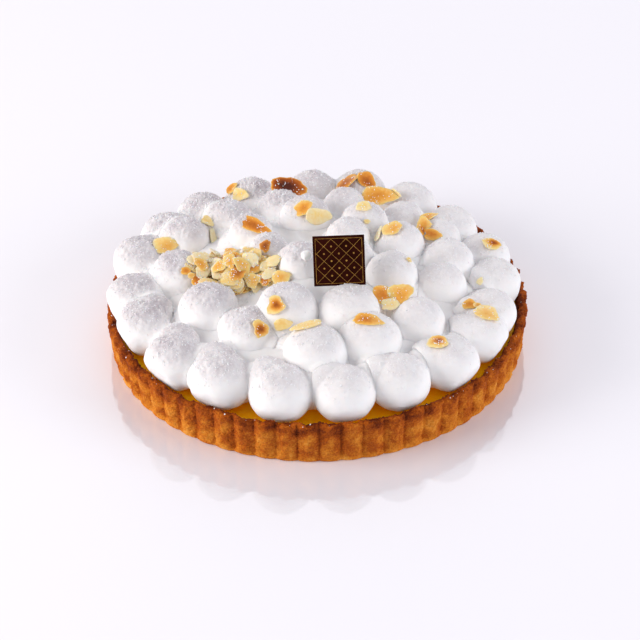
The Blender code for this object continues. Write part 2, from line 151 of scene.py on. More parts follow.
def linear(hex_colour: str) -> tuple[float, float, float, float]:
    """Turn an sRGB hex value into linear light.

    Args:
        hex_colour: A colour such as "#F7F5F8".

    Returns:
        Red, green, blue and an alpha of 1.
    """
    parts = [int(hex_colour[place:place + 2], 16) / 255 for place in (1, 3, 5)]
    red, green, blue = [
        part / 12.92 if part <= 0.04045 else ((part + 0.055) / 1.055) ** 2.4 for part in parts
    ]
    return red, green, blue, 1.0


def add_node(
    tree: bpy.types.NodeTree,
    kind: str,
    inputs: dict[Any, Any] | None = None,
    stops: Sequence[tuple[float, str]] = (),
    **settings: Any,
) -> bpy.types.Node:
    """Add a node with its settings, its inputs and, on a colour ramp, its stops.

    Args:
        tree: The node tree.
        kind: The node's type.
        inputs: Input name or number to a value, or to the socket that feeds it.
        stops: Place and hex colour of each stop of a colour ramp.
        settings: Properties of the node.

    Returns:
        The new node.
    """
    node = tree.nodes.new(kind)
    for name, value in settings.items():
        setattr(node, name, value)
    for key, value in (inputs or {}).items():
        if isinstance(value, bpy.types.NodeSocket):
            tree.links.new(value, node.inputs[key])
        else:
            node.inputs[key].default_value = value
    for number, (place, colour) in enumerate(stops):
        ramp = node.color_ramp.elements
        stop = ramp[number] if number < 2 else ramp.new(place)
        stop.position = place
        stop.color = linear(colour)
    return node


def smooth_step(low: float, high: float, values: Any) -> Any:
    """Rise smoothly from 0 at low to 1 at high."""
    share = np.clip((values - low) / (high - low), 0.0, 1.0)
    return share * share * (3 - 2 * share)


def smooth_min(first: np.ndarray, second: np.ndarray, blend: float) -> np.ndarray:
    """The smaller of two values, rounded where they cross."""
    near = np.clip(1 - np.abs(first - second) / blend, 0.0, 1.0)
    return np.minimum(first, second) - near * near * blend / 4


def plan_direction(azimuth: float) -> np.ndarray:
    """The level unit vector that points to an azimuth in degrees."""
    angle = math.radians(azimuth)
    return np.array((math.sin(angle), -math.cos(angle), 0.0))


def under_heap(centre: np.ndarray) -> bool:
    """Whether a mound lies under the almond heap."""
    return bool(np.linalg.norm(centre[:2] - HEAP_CENTRE) < UNDER_HEAP)


def unit(vectors: np.ndarray) -> np.ndarray:
    """Vectors at length 1."""
    return vectors / np.linalg.norm(vectors, axis=-1, keepdims=True)


def select_only(obj: bpy.types.Object) -> None:
    """Make an object the only selected and the active one.

    Args:
        obj: The object.
    """
    bpy.ops.object.select_all(action="DESELECT")
    obj.select_set(True)
    bpy.context.view_layer.objects.active = obj


def points_of(obj: bpy.types.Object) -> np.ndarray:
    """Read the places of a mesh's vertices.

    Args:
        obj: The object.

    Returns:
        One row of x, y and z for each vertex.
    """
    points = np.empty(len(obj.data.vertices) * 3)
    obj.data.vertices.foreach_get("co", points)
    return points.reshape(-1, 3)


def move_points(obj: bpy.types.Object, points: np.ndarray) -> None:
    """Put a mesh's vertices at new places."""
    obj.data.vertices.foreach_set("co", points.astype(np.float32).ravel())
    obj.data.update()


def set_attribute(obj: bpy.types.Object, name: str, values: np.ndarray) -> None:
    """Keep one number for each vertex, which a material can read."""
    attribute = obj.data.attributes.new(name, "FLOAT", "POINT")
    attribute.data.foreach_set("value", values.astype(np.float32))


def roughen(
    obj: bpy.types.Object,
    grain: float,
    depth: float,
    weights: np.ndarray | None = None,
    relief: Relief = Relief.LUMPS,
) -> None:
    """Push a surface in and out along its normals by noise.

    Args:
        obj: The object, whose mesh is changed.
        grain: Size of the lumps, in metres.
        depth: How far the highest lump stands above the lowest hollow.
        weights: How much of it each vertex takes, from 0 to 1, or None for all of it.
        relief: The kind of noise.
    """
    select_only(obj)
    texture = bpy.data.textures.new(f"{obj.name}_lumps", relief.value)
    texture.noise_scale = grain
    if relief is Relief.LUMPS:
        texture.noise_depth = 2
    else:
        texture.musgrave_type = "RIDGED_MULTIFRACTAL"
        texture.octaves = 3.0
        texture.noise_intensity = 0.5
    bpy.ops.object.modifier_add(type="DISPLACE")
    change = obj.modifiers[-1]
    change.texture = texture
    change.texture_coords = "LOCAL"
    change.strength = depth
    change.mid_level = 0.5
    if weights is not None:
        group = obj.vertex_groups.new(name="share")
        steps = np.round(weights * 16).astype(int)
        for step in range(1, 17):
            group.add(np.nonzero(steps == step)[0].tolist(), step / 16, "REPLACE")
        change.vertex_group = group.name
    bpy.ops.object.modifier_apply(modifier=change.name)
    obj.vertex_groups.clear()
    bpy.data.textures.remove(texture)


def scatter(
    obj: bpy.types.Object,
    count: int,
    rng: np.random.Generator,
    share: Callable[[np.ndarray, np.ndarray], np.ndarray],
) -> tuple[np.ndarray, np.ndarray]:
    """Pick random places on a mesh.

    Args:
        obj: The object to pick from.
        count: How many places.
        rng: The seeded source of chance.
        share: Gives each face's weight for each unit of area, from the middles and normals of the faces.

    Returns:
        The places, and the normals there.
    """
    mesh = obj.data
    mesh.calc_loop_triangles()
    corners = np.empty(len(mesh.loop_triangles) * 3, np.int32)
    mesh.loop_triangles.foreach_get("vertices", corners)
    triangles = points_of(obj)[corners.reshape(-1, 3)]
    crosses = np.cross(triangles[:, 1] - triangles[:, 0], triangles[:, 2] - triangles[:, 0])
    sizes = np.linalg.norm(crosses, axis=1) + 1e-15
    normals = crosses / sizes[:, None]
    weights = sizes * share(triangles.mean(axis=1), normals)
    if weights.sum() <= 0 or count < 1:
        return np.empty((0, 3)), np.empty((0, 3))
    chosen = rng.choice(len(triangles), count, p=weights / weights.sum())
    mix = rng.dirichlet((1, 1, 1), count)
    return np.einsum("ij,ijk->ik", mix, triangles[chosen]), normals[chosen]


def joined(
    name: str,
    shape: tuple[np.ndarray, np.ndarray],
    places: np.ndarray,
    turns: np.ndarray,
) -> bpy.types.Object:
    """Many copies of one small shape as a single mesh.

    Args:
        name: The new object's name.
        shape: Points and triangles of the shape.
        places: Where each copy goes.
        turns: For each copy, the 3 by 3 matrix that turns and sizes it.

    Returns:
        The object, linked to the scene.
    """
    points, triangles = shape
    spread = np.einsum("nij,pj->npi", turns, points) + places[:, None, :]
    steps = (np.arange(len(places)) * len(points))[:, None, None]
    mesh = bpy.data.meshes.new(name)
    mesh.from_pydata(spread.reshape(-1, 3), [], (triangles[None] + steps).reshape(-1, 3))
    obj = bpy.data.objects.new(name, mesh)
    bpy.context.scene.collection.objects.link(obj)
    return obj


def random_turns(count: int, rng: np.random.Generator) -> np.ndarray:
    """Pick random rotations.

    Args:
        count: How many.
        rng: The seeded source of chance.

    Returns:
        One 3 by 3 matrix for each.
    """
    first = unit(rng.normal(size=(count, 3)))
    second = unit(np.cross(first, rng.normal(size=(count, 3))))
    return np.stack((first, second, np.cross(first, second)), axis=2)


def taken_shape(obj: bpy.types.Object) -> tuple[np.ndarray, np.ndarray]:
    """Take the points and triangles of a model object, and remove it.

    Args:
        obj: The object to copy from.

    Returns:
        Its points, and its triangles as rows of point numbers.
    """
    points = points_of(obj)
    obj.data.calc_loop_triangles()
    triangles = np.empty(len(obj.data.loop_triangles) * 3, np.int32)
    obj.data.loop_triangles.foreach_get("vertices", triangles)
    bpy.data.objects.remove(obj, do_unlink=True)
    return points, triangles.reshape(-1, 3)


def turned(name: str, profile: Sequence[tuple[float, float]], steps: int) -> bpy.types.Object:
    """Spin a profile round the upright axis into a closed piece.

    Args:
        name: The new object's name.
        profile: Radius and height of each point, from the axis out and back to the axis.
        steps: How many sides the piece has.

    Returns:
        The object.
    """
    mesh = bpy.data.meshes.new(name)
    points = [(radius, 0.0, height) for radius, height in profile]
    mesh.from_pydata(points, [(step, step + 1) for step in range(len(points) - 1)], [])
    obj = bpy.data.objects.new(name, mesh)
    bpy.context.scene.collection.objects.link(obj)
    select_only(obj)
    bpy.ops.object.modifier_add(type="SCREW")
    lathe = obj.modifiers[-1]
    lathe.angle = math.tau
    lathe.steps = steps
    lathe.render_steps = steps
    lathe.use_merge_vertices = True
    lathe.merge_threshold = 0.01 * MM
    bpy.ops.object.modifier_apply(modifier=lathe.name)
    bpy.ops.object.mode_set(mode="EDIT")
    bpy.ops.mesh.select_all(action="SELECT")
    bpy.ops.mesh.remove_doubles(threshold=0.01 * MM)
    bpy.ops.mesh.normals_make_consistent(inside=False)
    bpy.ops.object.mode_set(mode="OBJECT")
    return obj


def dress(
    obj: bpy.types.Object, material: bpy.types.Material, node: str | None = None
) -> bpy.types.Object:
    """Finish a piece: smooth shading, its material, what it rides on and which solid it stands for.

    Args:
        obj: The piece.
        material: Its material.
        node: The solid that it replaces, if any.

    Returns:
        The same object.
    """
    obj.data.shade_smooth()
    obj.data.materials.clear()
    obj.data.materials.append(material)
    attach(obj, BODY)
    if node:
        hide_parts(node)
    LOG.info("%s: %d faces", obj.name, len(obj.data.polygons))
    return obj


@dataclass(frozen=True)
class Finish:
    """What every finish starts from: a named Principled material."""

    name: str
    roughness: float
    ior: float

    def start(
        self, values: dict[str, Any] | None = None
    ) -> tuple[bpy.types.Material, bpy.types.NodeTree, bpy.types.Node, bpy.types.NodeSocket]:
        """Make the material.

        Args:
            values: Name of a socket of the shader to the value that holds all over the surface.

        Returns:
            The material, its node tree, its shader and the socket of the Object coordinates.
        """
        material = bpy.data.materials.new(self.name)
        material.use_nodes = True
        tree = material.node_tree
        shader = tree.nodes["Principled BSDF"]
        for name, value in {"Roughness": self.roughness, "IOR": self.ior, **(values or {})}.items():
            shader.inputs[name].default_value = value
        place = add_node(tree, "ShaderNodeTexCoord").outputs["Object"]
        return material, tree, shader, place

    def mottle(
        self,
        tree: bpy.types.NodeTree,
        place: bpy.types.NodeSocket,
        patch: float,
        detail: float,
        stops: Sequence[tuple[float, str]],
    ) -> bpy.types.NodeSocket:
        """Colour the surface in soft patches.

        Args:
            tree: The node tree.
            place: The Object coordinates.
            patch: Size of the patches, in metres.
            detail: How fine the unevenness within them goes.
            stops: Place and hex colour of each colour in them.

        Returns:
            The socket that gives the patches' strength.
        """
        noise = add_node(
            tree, "ShaderNodeTexNoise", {"Vector": place, "Scale": 1 / patch, "Detail": detail})
        colour = add_node(tree, "ShaderNodeValToRGB", {"Fac": noise.outputs["Fac"]}, stops)
        tree.links.new(colour.outputs["Color"], tree.nodes["Principled BSDF"].inputs["Base Color"])
        return noise.outputs["Fac"]

    def relieve(
        self, tree: bpy.types.NodeTree, height: bpy.types.NodeSocket, strength: Any, distance: float
    ) -> None:
        """Give the surface relief too fine for the mesh.

        Args:
            tree: The node tree.
            height: The socket that gives the height.
            strength: How much of it shows, as a number or a socket.
            distance: The height of the relief, in metres.
        """
        bump = add_node(
            tree, "ShaderNodeBump", {"Height": height, "Strength": strength, "Distance": distance})
        tree.links.new(bump.outputs[0], tree.nodes["Principled BSDF"].inputs["Normal"])


@dataclass(frozen=True)
class PipedMeringue(Finish):
    """Soft meringue of egg white and sugar, piped, with icing sugar sifted over it.

    The sides are smooth and matte white, and light passes a little way in. The tops are grainy with
    the sugar, and grey with painted shade: the colour darkens the faces that look up.
    """

    name: str = "piped_meringue_dusted_with_icing_sugar"
    roughness: float = 0.62
    ior: float = 1.40
    side: str = "#F8F6F6"
    # The two greys of the tops are painted shade, flecked with the sugar's grain.
    top: str = "#BEB5BA"
    pale_top_shade: str = "#D6D0D4"
    grain: float = 1.7 * MM
    patch: float = 9.0 * MM
    relief: float = 0.7 * MM

    def material(self) -> bpy.types.Material:
        """Build the material.

        Returns:
            The material.
        """
        material, tree, shader, place = self.start({
            "Subsurface Weight": 0.35, "Subsurface Radius": (1.0, 0.82, 0.72),
            "Subsurface Scale": 2.5 * MM, "Specular IOR Level": 0.25})
        # This mask paints shade on the tops, grey on faces that look up, and also places the sugar's grainy
        # relief.
        sugar_and_shade_mask = add_node(tree, "ShaderNodeAttribute", attribute_name="dusted").outputs["Fac"]
        patches = add_node(
            tree, "ShaderNodeTexNoise", {"Vector": place, "Scale": 1 / self.patch, "Detail": 4.0})
        uneven = add_node(
            tree, "ShaderNodeMapRange",
            {"Value": patches.outputs["Fac"], "From Min": 0.34, "From Max": 0.66, "To Min": 0.5})
        dusted = add_node(tree, "ShaderNodeMath", {0: uneven.outputs[0], 1: sugar_and_shade_mask}, operation="MULTIPLY")
        grains = add_node(
            tree, "ShaderNodeTexNoise",
            {"Vector": place, "Scale": 1 / self.grain, "Detail": 4.0, "Roughness": 0.62})
        specks = add_node(
            tree, "ShaderNodeValToRGB", {"Fac": grains.outputs["Fac"]},
            ((0.34, self.top), (0.70, self.pale_top_shade)))
        colour = add_node(
            tree, "ShaderNodeMix",
            {0: dusted.outputs[0], 6: linear(self.side), 7: specks.outputs["Color"]}, data_type="RGBA")
        tree.links.new(colour.outputs[2], shader.inputs["Base Color"])
        depth = add_node(
            tree, "ShaderNodeMapRange", {"Value": dusted.outputs[0], "To Min": 0.03, "To Max": 0.40})
        self.relieve(tree, grains.outputs["Fac"], depth.outputs[0], self.relief)
        return material


@dataclass(frozen=True)
class BakedCrust(Finish):
    """Shortcrust pastry, pressed into a fluted tin and baked.

    It is matte and crumbly, with small pores, browner towards the rim and golden at the foot where the tin
    shaded it. The creases of the flutes and the rim's inner edge, by the curd, carry painted shade.
    """

    name: str = "baked_shortcrust_pastry"
    roughness: float = 0.72
    ior: float = 1.45
    crumb: float = 1.0 * MM
    patch: float = 9.0 * MM
    patch_share: float = 0.36
    crumb_share: float = 0.30
    pore: float = 1.6 * MM
    relief: float = 0.5 * MM
    browning: tuple[tuple[float, str], ...] = (
        (0.0, "#EFAE54"), (1.0, "#3B1505"), (0.25, "#DA8529"), (0.5, "#B15614"), (0.76, "#6E2A09"))

    def material(self) -> bpy.types.Material:
        """Build the material.

        Returns:
            The material.
        """
        material, tree, shader, place = self.start({"Specular IOR Level": 0.18})
        # The attribute holds the baking colour together with painted shade in the flute creases and at the
        # rim's inner edge.
        browned = add_node(tree, "ShaderNodeAttribute", attribute_name="browned").outputs["Fac"]
        patches = add_node(
            tree, "ShaderNodeTexNoise", {"Vector": place, "Scale": 1 / self.patch, "Detail": 5.0})
        spread = add_node(
            tree, "ShaderNodeMapRange", {"Value": patches.outputs["Fac"], "From Min": 0.36, "From Max": 0.64})
        crumbs = add_node(
            tree, "ShaderNodeTexNoise",
            {"Vector": place, "Scale": 1 / self.crumb, "Detail": 5.0, "Roughness": 0.68})
        grains = add_node(
            tree, "ShaderNodeMapRange", {"Value": crumbs.outputs["Fac"], "From Min": 0.34, "From Max": 0.66})
        uneven = add_node(
            tree, "ShaderNodeMath", {0: spread.outputs[0], 1: self.patch_share, 2: browned},
            operation="MULTIPLY_ADD")
        speckled = add_node(
            tree, "ShaderNodeMath", {0: grains.outputs[0], 1: self.crumb_share, 2: uneven.outputs[0]},
            operation="MULTIPLY_ADD")
        share = add_node(
            tree, "ShaderNodeMapRange", {"Value": speckled.outputs[0], "From Min": 0.0, "From Max": 1.20})
        colour = add_node(tree, "ShaderNodeValToRGB", {"Fac": share.outputs[0]}, self.browning)
        tree.links.new(colour.outputs["Color"], shader.inputs["Base Color"])
        pores = add_node(
            tree, "ShaderNodeTexVoronoi", {"Vector": place, "Scale": 1 / self.pore, "Randomness": 1.0})
        pits = add_node(
            tree, "ShaderNodeMapRange",
            {"Value": pores.outputs["Distance"], "From Min": 0.05, "From Max": 0.4})
        height = add_node(
            tree, "ShaderNodeMath", {0: pits.outputs[0], 1: 0.5, 2: crumbs.outputs["Fac"]},
            operation="MULTIPLY_ADD")
        self.relieve(tree, height.outputs[0], 0.9, self.relief)
        return material


@dataclass(frozen=True)
class SetCurd(Finish):
    """Lemon curd of eggs, butter and lemon, set in the shell: smooth, glossy and a little see-through."""

    name: str = "set_lemon_curd"
    roughness: float = 0.24
    ior: float = 1.42
    patch: float = 16.0 * MM
    ripple: float = 5.0 * MM
    relief: float = 0.8 * MM

    def material(self) -> bpy.types.Material:
        """Build the material.

        Returns:
            The material.
        """
        # The faint amber emission is a painted glow: the curd gives no light, and the glow lightens it where
        # the mounds shade it.
        material, tree, _, place = self.start({
            "Subsurface Weight": 0.9, "Subsurface Radius": (1.0, 0.7, 0.05),
            "Subsurface Scale": 11.0 * MM, "Specular IOR Level": 0.35,
            "Emission Color": linear("#FF9A00"), "Emission Strength": 0.06,
            "Coat Weight": 0.1, "Coat Roughness": 0.12})
        self.mottle(tree, place, self.patch, 3.0, ((0.3, "#FFA200"), (0.7, "#FFBA10")))
        ripples = add_node(
            tree, "ShaderNodeTexNoise", {"Vector": place, "Scale": 1 / self.ripple, "Detail": 2.0})
        self.relieve(tree, ripples.outputs["Fac"], 0.25, self.relief)
        return material


@dataclass(frozen=True)
class ToastedAlmond(Finish):
    """Blanched almonds cut into flakes and toasted: waxy cream that turns gold and brown in the middle."""

    name: str = "toasted_almond_flakes"
    roughness: float = 0.38
    ior: float = 1.47
    fibre: float = 1.8 * MM
    relief: float = 0.3 * MM
    toasting: tuple[tuple[float, str], ...] = (
        (0.08, "#FCEFCF"), (1.0, "#521C06"), (0.26, "#F7D587"), (0.44, "#EEAD48"), (0.62, "#D27F26"),
        (0.82, "#9C4A0D"))

    def material(self) -> bpy.types.Material:
        """Build the material.

        Returns:
            The material.
        """
        material, tree, shader, place = self.start({
            "Subsurface Weight": 0.35, "Subsurface Radius": (1.0, 0.65, 0.3), "Subsurface Scale": 1.6 * MM})
        toast = add_node(tree, "ShaderNodeAttribute", attribute_name="toast").outputs["Fac"]
        fibres = add_node(
            tree, "ShaderNodeTexNoise", {"Vector": place, "Scale": 1 / self.fibre, "Detail": 4.0})
        uneven = add_node(
            tree, "ShaderNodeMath", {0: fibres.outputs["Fac"], 1: 0.22, 2: toast}, operation="MULTIPLY_ADD")
        colour = add_node(tree, "ShaderNodeValToRGB", {"Fac": uneven.outputs[0]}, self.toasting)
        tree.links.new(colour.outputs["Color"], shader.inputs["Base Color"])
        self.relieve(tree, fibres.outputs["Fac"], 0.3, self.relief)
        return material


@dataclass(frozen=True)
class IcingSugar(Finish):
    """Grains of icing sugar that clumped as they fell: white and matte."""

    name: str = "icing_sugar_grains"
    roughness: float = 0.8
    ior: float = 1.45
    patch: float = 0.4 * MM

    def material(self) -> bpy.types.Material:
        """Build the material.

        Returns:
            The material.
        """
        material, tree, _, place = self.start({"Subsurface Weight": 0.1, "Subsurface Scale": 0.5 * MM})
        self.mottle(tree, place, self.patch, 2.0, ((0.3, "#F1EEF3"), (0.7, "#FFFFFF")))
        return material


@dataclass(frozen=True)
class DarkChocolate(Finish):
    """Tempered dark chocolate, cast on a smooth sheet: satin, almost black brown."""

    name: str = "tempered_dark_chocolate"
    roughness: float = 0.34
    ior: float = 1.46
    bloom: float = 6.0 * MM
    relief: float = 0.3 * MM

    def material(self) -> bpy.types.Material:
        """Build the material.

        Returns:
            The material.
        """
        material, tree, _, place = self.start({"Specular IOR Level": 0.03})
        blooms = self.mottle(tree, place, self.bloom, 4.0, ((0.3, "#240A05"), (0.75, "#34100A")))
        self.relieve(tree, blooms, 0.1, self.relief)
        return material


@dataclass(frozen=True)
class GoldPrint(Finish):
    """Gold-coloured cocoa butter, printed on the chocolate: a thin film with a dull metal look."""

    name: str = "gold_cocoa_butter_print"
    roughness: float = 0.45
    ior: float = 1.5
    wear: float = 1.5 * MM

    def material(self) -> bpy.types.Material:
        """Build the material.

        Returns:
            The material.
        """
        material, tree, _, place = self.start({"Metallic": 0.35})
        self.mottle(tree, place, self.wear, 3.0, ((0.3, "#7E5420"), (0.65, "#C2933F")))
        return material


@dataclass(frozen=True)
class StudioBoard(Finish):
    """White lacquered board under the tart: plain, pale and glossy."""

    name: str = "white_studio_board"
    roughness: float = 0.06
    ior: float = 2.0

    def material(self) -> bpy.types.Material:
        """Build the material.

        Returns:
            The material.
        """
        return self.start({"Base Color": linear("#F1EFF5")})[0]


@dataclass
class Mound:
    """A piped mound, pressed flat against its neighbours, the curd and the rim."""

    name: str
    centre: np.ndarray
    across: float
    up: float
    tail: np.ndarray | None = None
    partings: list[tuple[np.ndarray, float]] = field(default_factory=list)
    rests: list[tuple[np.ndarray, float]] = field(default_factory=list)
    neighbours: list[tuple["Mound", float]] = field(default_factory=list)

    @property
    def outer(self) -> bool:
        """Whether it stands in the outer ring."""
        return "outer" in self.name

    def spread_share(self, ways: np.ndarray) -> np.ndarray:
        """How much the foot spreads on each side: not towards the rim, where the curd shows.

        Args:
            ways: Unit vectors from the mound's middle.

        Returns:
            A share from 0 to 1 for each of them.
        """
        if not self.outer:
            return np.ones(len(ways))
        level = np.hypot(ways[:, 0], ways[:, 1]) * math.hypot(*self.centre[:2]) + 1e-9
        inward = -(ways[:, :2] @ self.centre[:2]) / level
        return np.clip(1.5 * inward, 0.0, 1.0)

    def free_reach(self, ways: np.ndarray) -> np.ndarray:
        """Measure the mound before anything presses on it.

        Args:
            ways: Unit vectors from its middle.

        Returns:
            The distance to the surface along each of them.
        """
        quick = np.clip(-FOOT_QUICK * ways[:, 2], 0.0, 1.0)
        spread = 1 + FOOT_SPREAD * self.spread_share(ways) * quick
        level = np.hypot(ways[:, 0], ways[:, 1]) / (self.across * spread)
        foot = max(self.up, FOOT_REACH * (self.centre[2] - CURD_TOP))
        power = SQUAREST if foot > self.up else 2.0
        upper = 1 / np.hypot(level, ways[:, 2] / self.up)
        lower = (level ** power + (np.abs(ways[:, 2]) / foot) ** power) ** (-1 / power)
        reach = np.where(ways[:, 2] >= 0, upper, lower)
        if self.tail is not None:
            along = ways @ self.tail
            ball = TAIL_SIZE * self.across
            inside = along ** 2 - self.tail @ self.tail + ball ** 2
            far = np.where((along > 0) & (inside > 0), along + np.sqrt(np.maximum(inside, 0)), 0.0)
            reach = -smooth_min(-reach, -far, TAIL_BLEND)
        return reach

    def depth(self, points: np.ndarray) -> np.ndarray:
        """Measure how far points are outside the free surface.

        Args:
            points: The points.

        Returns:
            Their distance from the surface, along lines from the mound's middle.
        """
        away = points - self.centre
        length = np.linalg.norm(away, axis=1) + 1e-9
        return length - self.free_reach(away / length[:, None])

    def reach(self, ways: np.ndarray) -> np.ndarray:
        """Measure the pressed mound, with soft creases towards its neighbours.

        Args:
            ways: Unit vectors from its middle.

        Returns:
            The distance to the surface along each of them.
        """
        limit = np.full(len(ways), np.inf)
        for normal, distance in self.partings:
            lean = ways @ normal
            limit = np.where(lean > 1e-6, np.minimum(limit, distance / np.maximum(lean, 1e-6)), limit)
        reach = np.minimum(self.free_reach(ways), limit)
        for _ in range(CREASE_ROUNDS):
            points = self.centre + ways * reach[:, None]
            gap = self.depth(points)
            for other, blend in self.neighbours:
                gap = smooth_min(gap, other.depth(points), blend)
            reach = np.minimum(reach - 0.9 * gap, limit)
        for normal, distance in self.rests:
            lean = ways @ normal
            rest = np.where(lean > 1e-3, distance / np.maximum(lean, 1e-3), 1.0)
            reach = smooth_min(reach, rest, REST_BLEND)
        return reach


@dataclass
class MeringueTop:
    """All the piped mounds, ring by ring.

    The creases between them are soft on the left of the tart, where the mounds ran together, and
    crisp on the right and in front.
    """

    overlap: float = 0.15 * MM
    over_rim: float = 2.0 * MM
    crispest: float = 2.2 * MM
    softest: float = 9.5 * MM
    touching: float = 4.0 * MM
    rim_lean: float = 26.0
    rim_sides: tuple[float, ...] = (-7.0, 0.0, 7.0)
    tail_turn: float = 33.0
    tail_turn_change: float = 15.0
    outer_flatness: float = 0.96
    outer_flatter: float = 0.08
    sat_down: dict[tuple[str, int], float] = field(default_factory=lambda: {
        ("second", 1): 0.92, ("second", 2): 0.92, ("second", 14): 0.92,
        ("third", 1): 0.90, ("third", 2): 0.76})
    lump: float = 8.0 * MM
    lump_depth: float = 1.0 * MM
    grain: float = 2.2 * MM
    grain_depth: float = 2.1 * MM
    bead: float = 3.3 * MM
    bead_lump: float = 3.0 * MM
    bead_lump_depth: float = 1.2 * MM
    bead_place: tuple[float, float, float] = (-5.6 * MM, -13.5 * MM, 66.0 * MM)
    between: tuple[tuple[float, float], ...] = (
        (0, 20.2), (93, 20.2), (97, 26), (97, 32), (94, 37), (86, 41), (77, 42.5), (67, 44.5), (58, 46.5),
        (48, 48.5), (38, 50.5), (28, 52.5), (18, 54), (9, 54.5), (0, 54.5))
    between_sides: int = 160
    swell: float = 12.0 * MM
    swell_depth: float = 6.0 * MM
    heap_dip: tuple[float, float] = (26.0 * MM, 5.0 * MM)
    mounds: list[Mound] = field(default_factory=list)
    objects: dict[str, bpy.types.Object] = field(default_factory=dict)

    def flatness(self, ring: str, number: int, azimuth: float) -> float:
        """Tell how far a mound sat down: the front ones did so more.

        Args:
            ring: The ring that it is in.
            number: Its number in the ring.
            azimuth: Where it is, in degrees.

        Returns:
            Its height above its middle as a share of its radius.
        """
        if ring == "outer":
            return min(1.0, self.outer_flatness - self.outer_flatter * math.cos(math.radians(azimuth)))
        return self.sat_down.get((ring, number), 1.0)

    def tail_of(self, azimuth: float, across: float) -> np.ndarray:
        """Place the ball that makes a tail: inwards, and turned the way that the piping went round.

        Args:
            azimuth: Where the mound is, in degrees.
            across: The mound's radius.

        Returns:
            The ball's offset from the mound's middle.
        """
        turn = math.radians(self.tail_turn + self.tail_turn_change * math.cos(math.radians(azimuth)))
        inward = -plan_direction(azimuth)
        cosine, sine = math.cos(turn), math.sin(turn)
        level = (inward[0] * cosine - inward[1] * sine, inward[0] * sine + inward[1] * cosine)
        return np.array((*level, 0.0)) * TAIL_OUT * across + UP * TAIL_LIFT * across

    def lay_out(self) -> None:
        """Place every mound, and press it against its neighbours, the curd, the rim and the almonds."""
        rings = (
            ("outer", OUTER_RING, OUTER_HEIGHT),
            ("second", SECOND_RING, SECOND_HEIGHT),
            ("third", THIRD_RING, THIRD_HEIGHT),
            ("centre", CENTRE_RING, CENTRE_HEIGHT),
        )
        for ring, places, height in rings:
            for number, (azimuth, distance, radius) in enumerate(places, start=1):
                centre = plan_direction(azimuth) * distance * MM
                across = radius * MM
                centre[2] = HEAP_UNDERSIDE - HEAP_SINK * across if under_heap(centre) else height
                signed = (azimuth + 180.0) % 360.0 - 180.0
                tailed = ring == "outer" and TAILS_FROM < signed < TAILS_TO
                tail = self.tail_of(azimuth, across) if tailed else None
                up = across * self.flatness(ring, number, azimuth)
                self.mounds.append(Mound(f"meringue_{ring}_{number:02d}", centre, across, up, tail))
        for mound in self.mounds:
            self.press(mound)

    def softness(self, first: Mound, second: Mound) -> float:
        """Tell how wide the crease between two mounds is rounded.

        Args:
            first: One mound.
            second: The other.

        Returns:
            The width, in metres.
        """
        middle = 0.5 * (first.centre + second.centre)
        left = smooth_step(-20 * MM, 90 * MM, -middle[0] + 0.35 * middle[1])
        return self.crispest + (self.softest - self.crispest) * float(left)

    def press(self, mound: Mound) -> None:
        """Part a mound from its neighbours, and set it on what it rests on.

        Args:
            mound: The mound, which is changed.
        """
        for other in self.mounds:
            apart = other.centre - mound.centre
            distance = float(np.linalg.norm(apart))
            if other is mound or distance > NEIGHBOURHOOD:
                continue
            split = (distance ** 2 + mound.across ** 2 - other.across ** 2) / (2 * distance)
            mound.partings.append((apart / distance, split + self.overlap))
            if distance < mound.across + other.across + self.touching:
                mound.neighbours.append((other, self.softness(mound, other)))
        mound.rests.append((-UP, mound.centre[2] - CURD_TOP + self.overlap))
        if under_heap(mound.centre):
            mound.rests.append((UP, HEAP_UNDERSIDE - mound.centre[2]))
        if not mound.outer:
            return
        azimuth = math.degrees(math.atan2(mound.centre[0], -mound.centre[1]))
        lean = math.radians(self.rim_lean)
        for side in self.rim_sides:
            outward = plan_direction(azimuth + side)
            edge = outward * (inner_radius(WALL_HEIGHT) + self.over_rim) + UP * (WALL_HEIGHT + RIM_CROWN)
            normal = outward * math.cos(lean) - UP * math.sin(lean)
            mound.rests.append((normal, float(normal @ (edge - mound.centre))))

    def build(self, material: bpy.types.Material) -> None:
        """Model one ball, and shape a copy of it into each mound.

        Args:
            material: The meringue.
        """
        bpy.ops.object.select_all(action="DESELECT")
        bpy.ops.mesh.primitive_ico_sphere_add(subdivisions=6, radius=1.0)
        ball = bpy.context.active_object
        ways = unit(points_of(ball))
        for mound in self.mounds:
            obj = ball.copy()
            obj.data = ball.data.copy()
            obj.name = f"piped_{mound.name}"
            bpy.context.scene.collection.objects.link(obj)
            reach = mound.reach(ways)
            move_points(obj, mound.centre + ways * reach[:, None])
            # The mask paints shade: grey on faces that look up, away from the creases and more on the left
            # and back. It also sets where the sugar's grain stands up.
            creased = smooth_step(0.04, 0.15, np.abs(reach / mound.free_reach(ways) - 1))
            fallen = 0.45 + 0.55 * smooth_step(-60 * MM, 60 * MM, -mound.centre[0] + 0.3 * mound.centre[1])
            dusted = smooth_step(0.15, 0.95, ways[:, 2] + 0.15 * ways[:, 1]) * (1 - creased) * fallen
            set_attribute(obj, "dusted", dusted)
            roughen(obj, self.lump, self.lump_depth)
            roughen(obj, self.grain, self.grain_depth, dusted)
            self.objects[mound.name] = dress(obj, material, mound.name)
        bpy.data.objects.remove(ball, do_unlink=True)

    def build_between(self, material: bpy.types.Material) -> bpy.types.Object:
        """Lay the low meringue that closes the hollows where three mounds meet.

        Args:
            material: The meringue.

        Returns:
            The piece.
        """
        profile = [(radius * MM, height * MM) for radius, height in self.between]
        obj = turned("meringue_between_mounds", profile, self.between_sides)
        points = points_of(obj)
        near = np.hypot(*(points[:, :2] - HEAP_CENTRE).T) / self.heap_dip[0]
        upper = points[:, 2] > CURD_TOP + 2 * MM
        points[:, 2] -= self.heap_dip[1] * np.exp(-near ** 2) * upper
        move_points(obj, points)
        roughen(obj, self.swell, self.swell_depth, upper.astype(float))
        set_attribute(obj, "dusted", np.zeros(len(points)))
        return dress(obj, material)

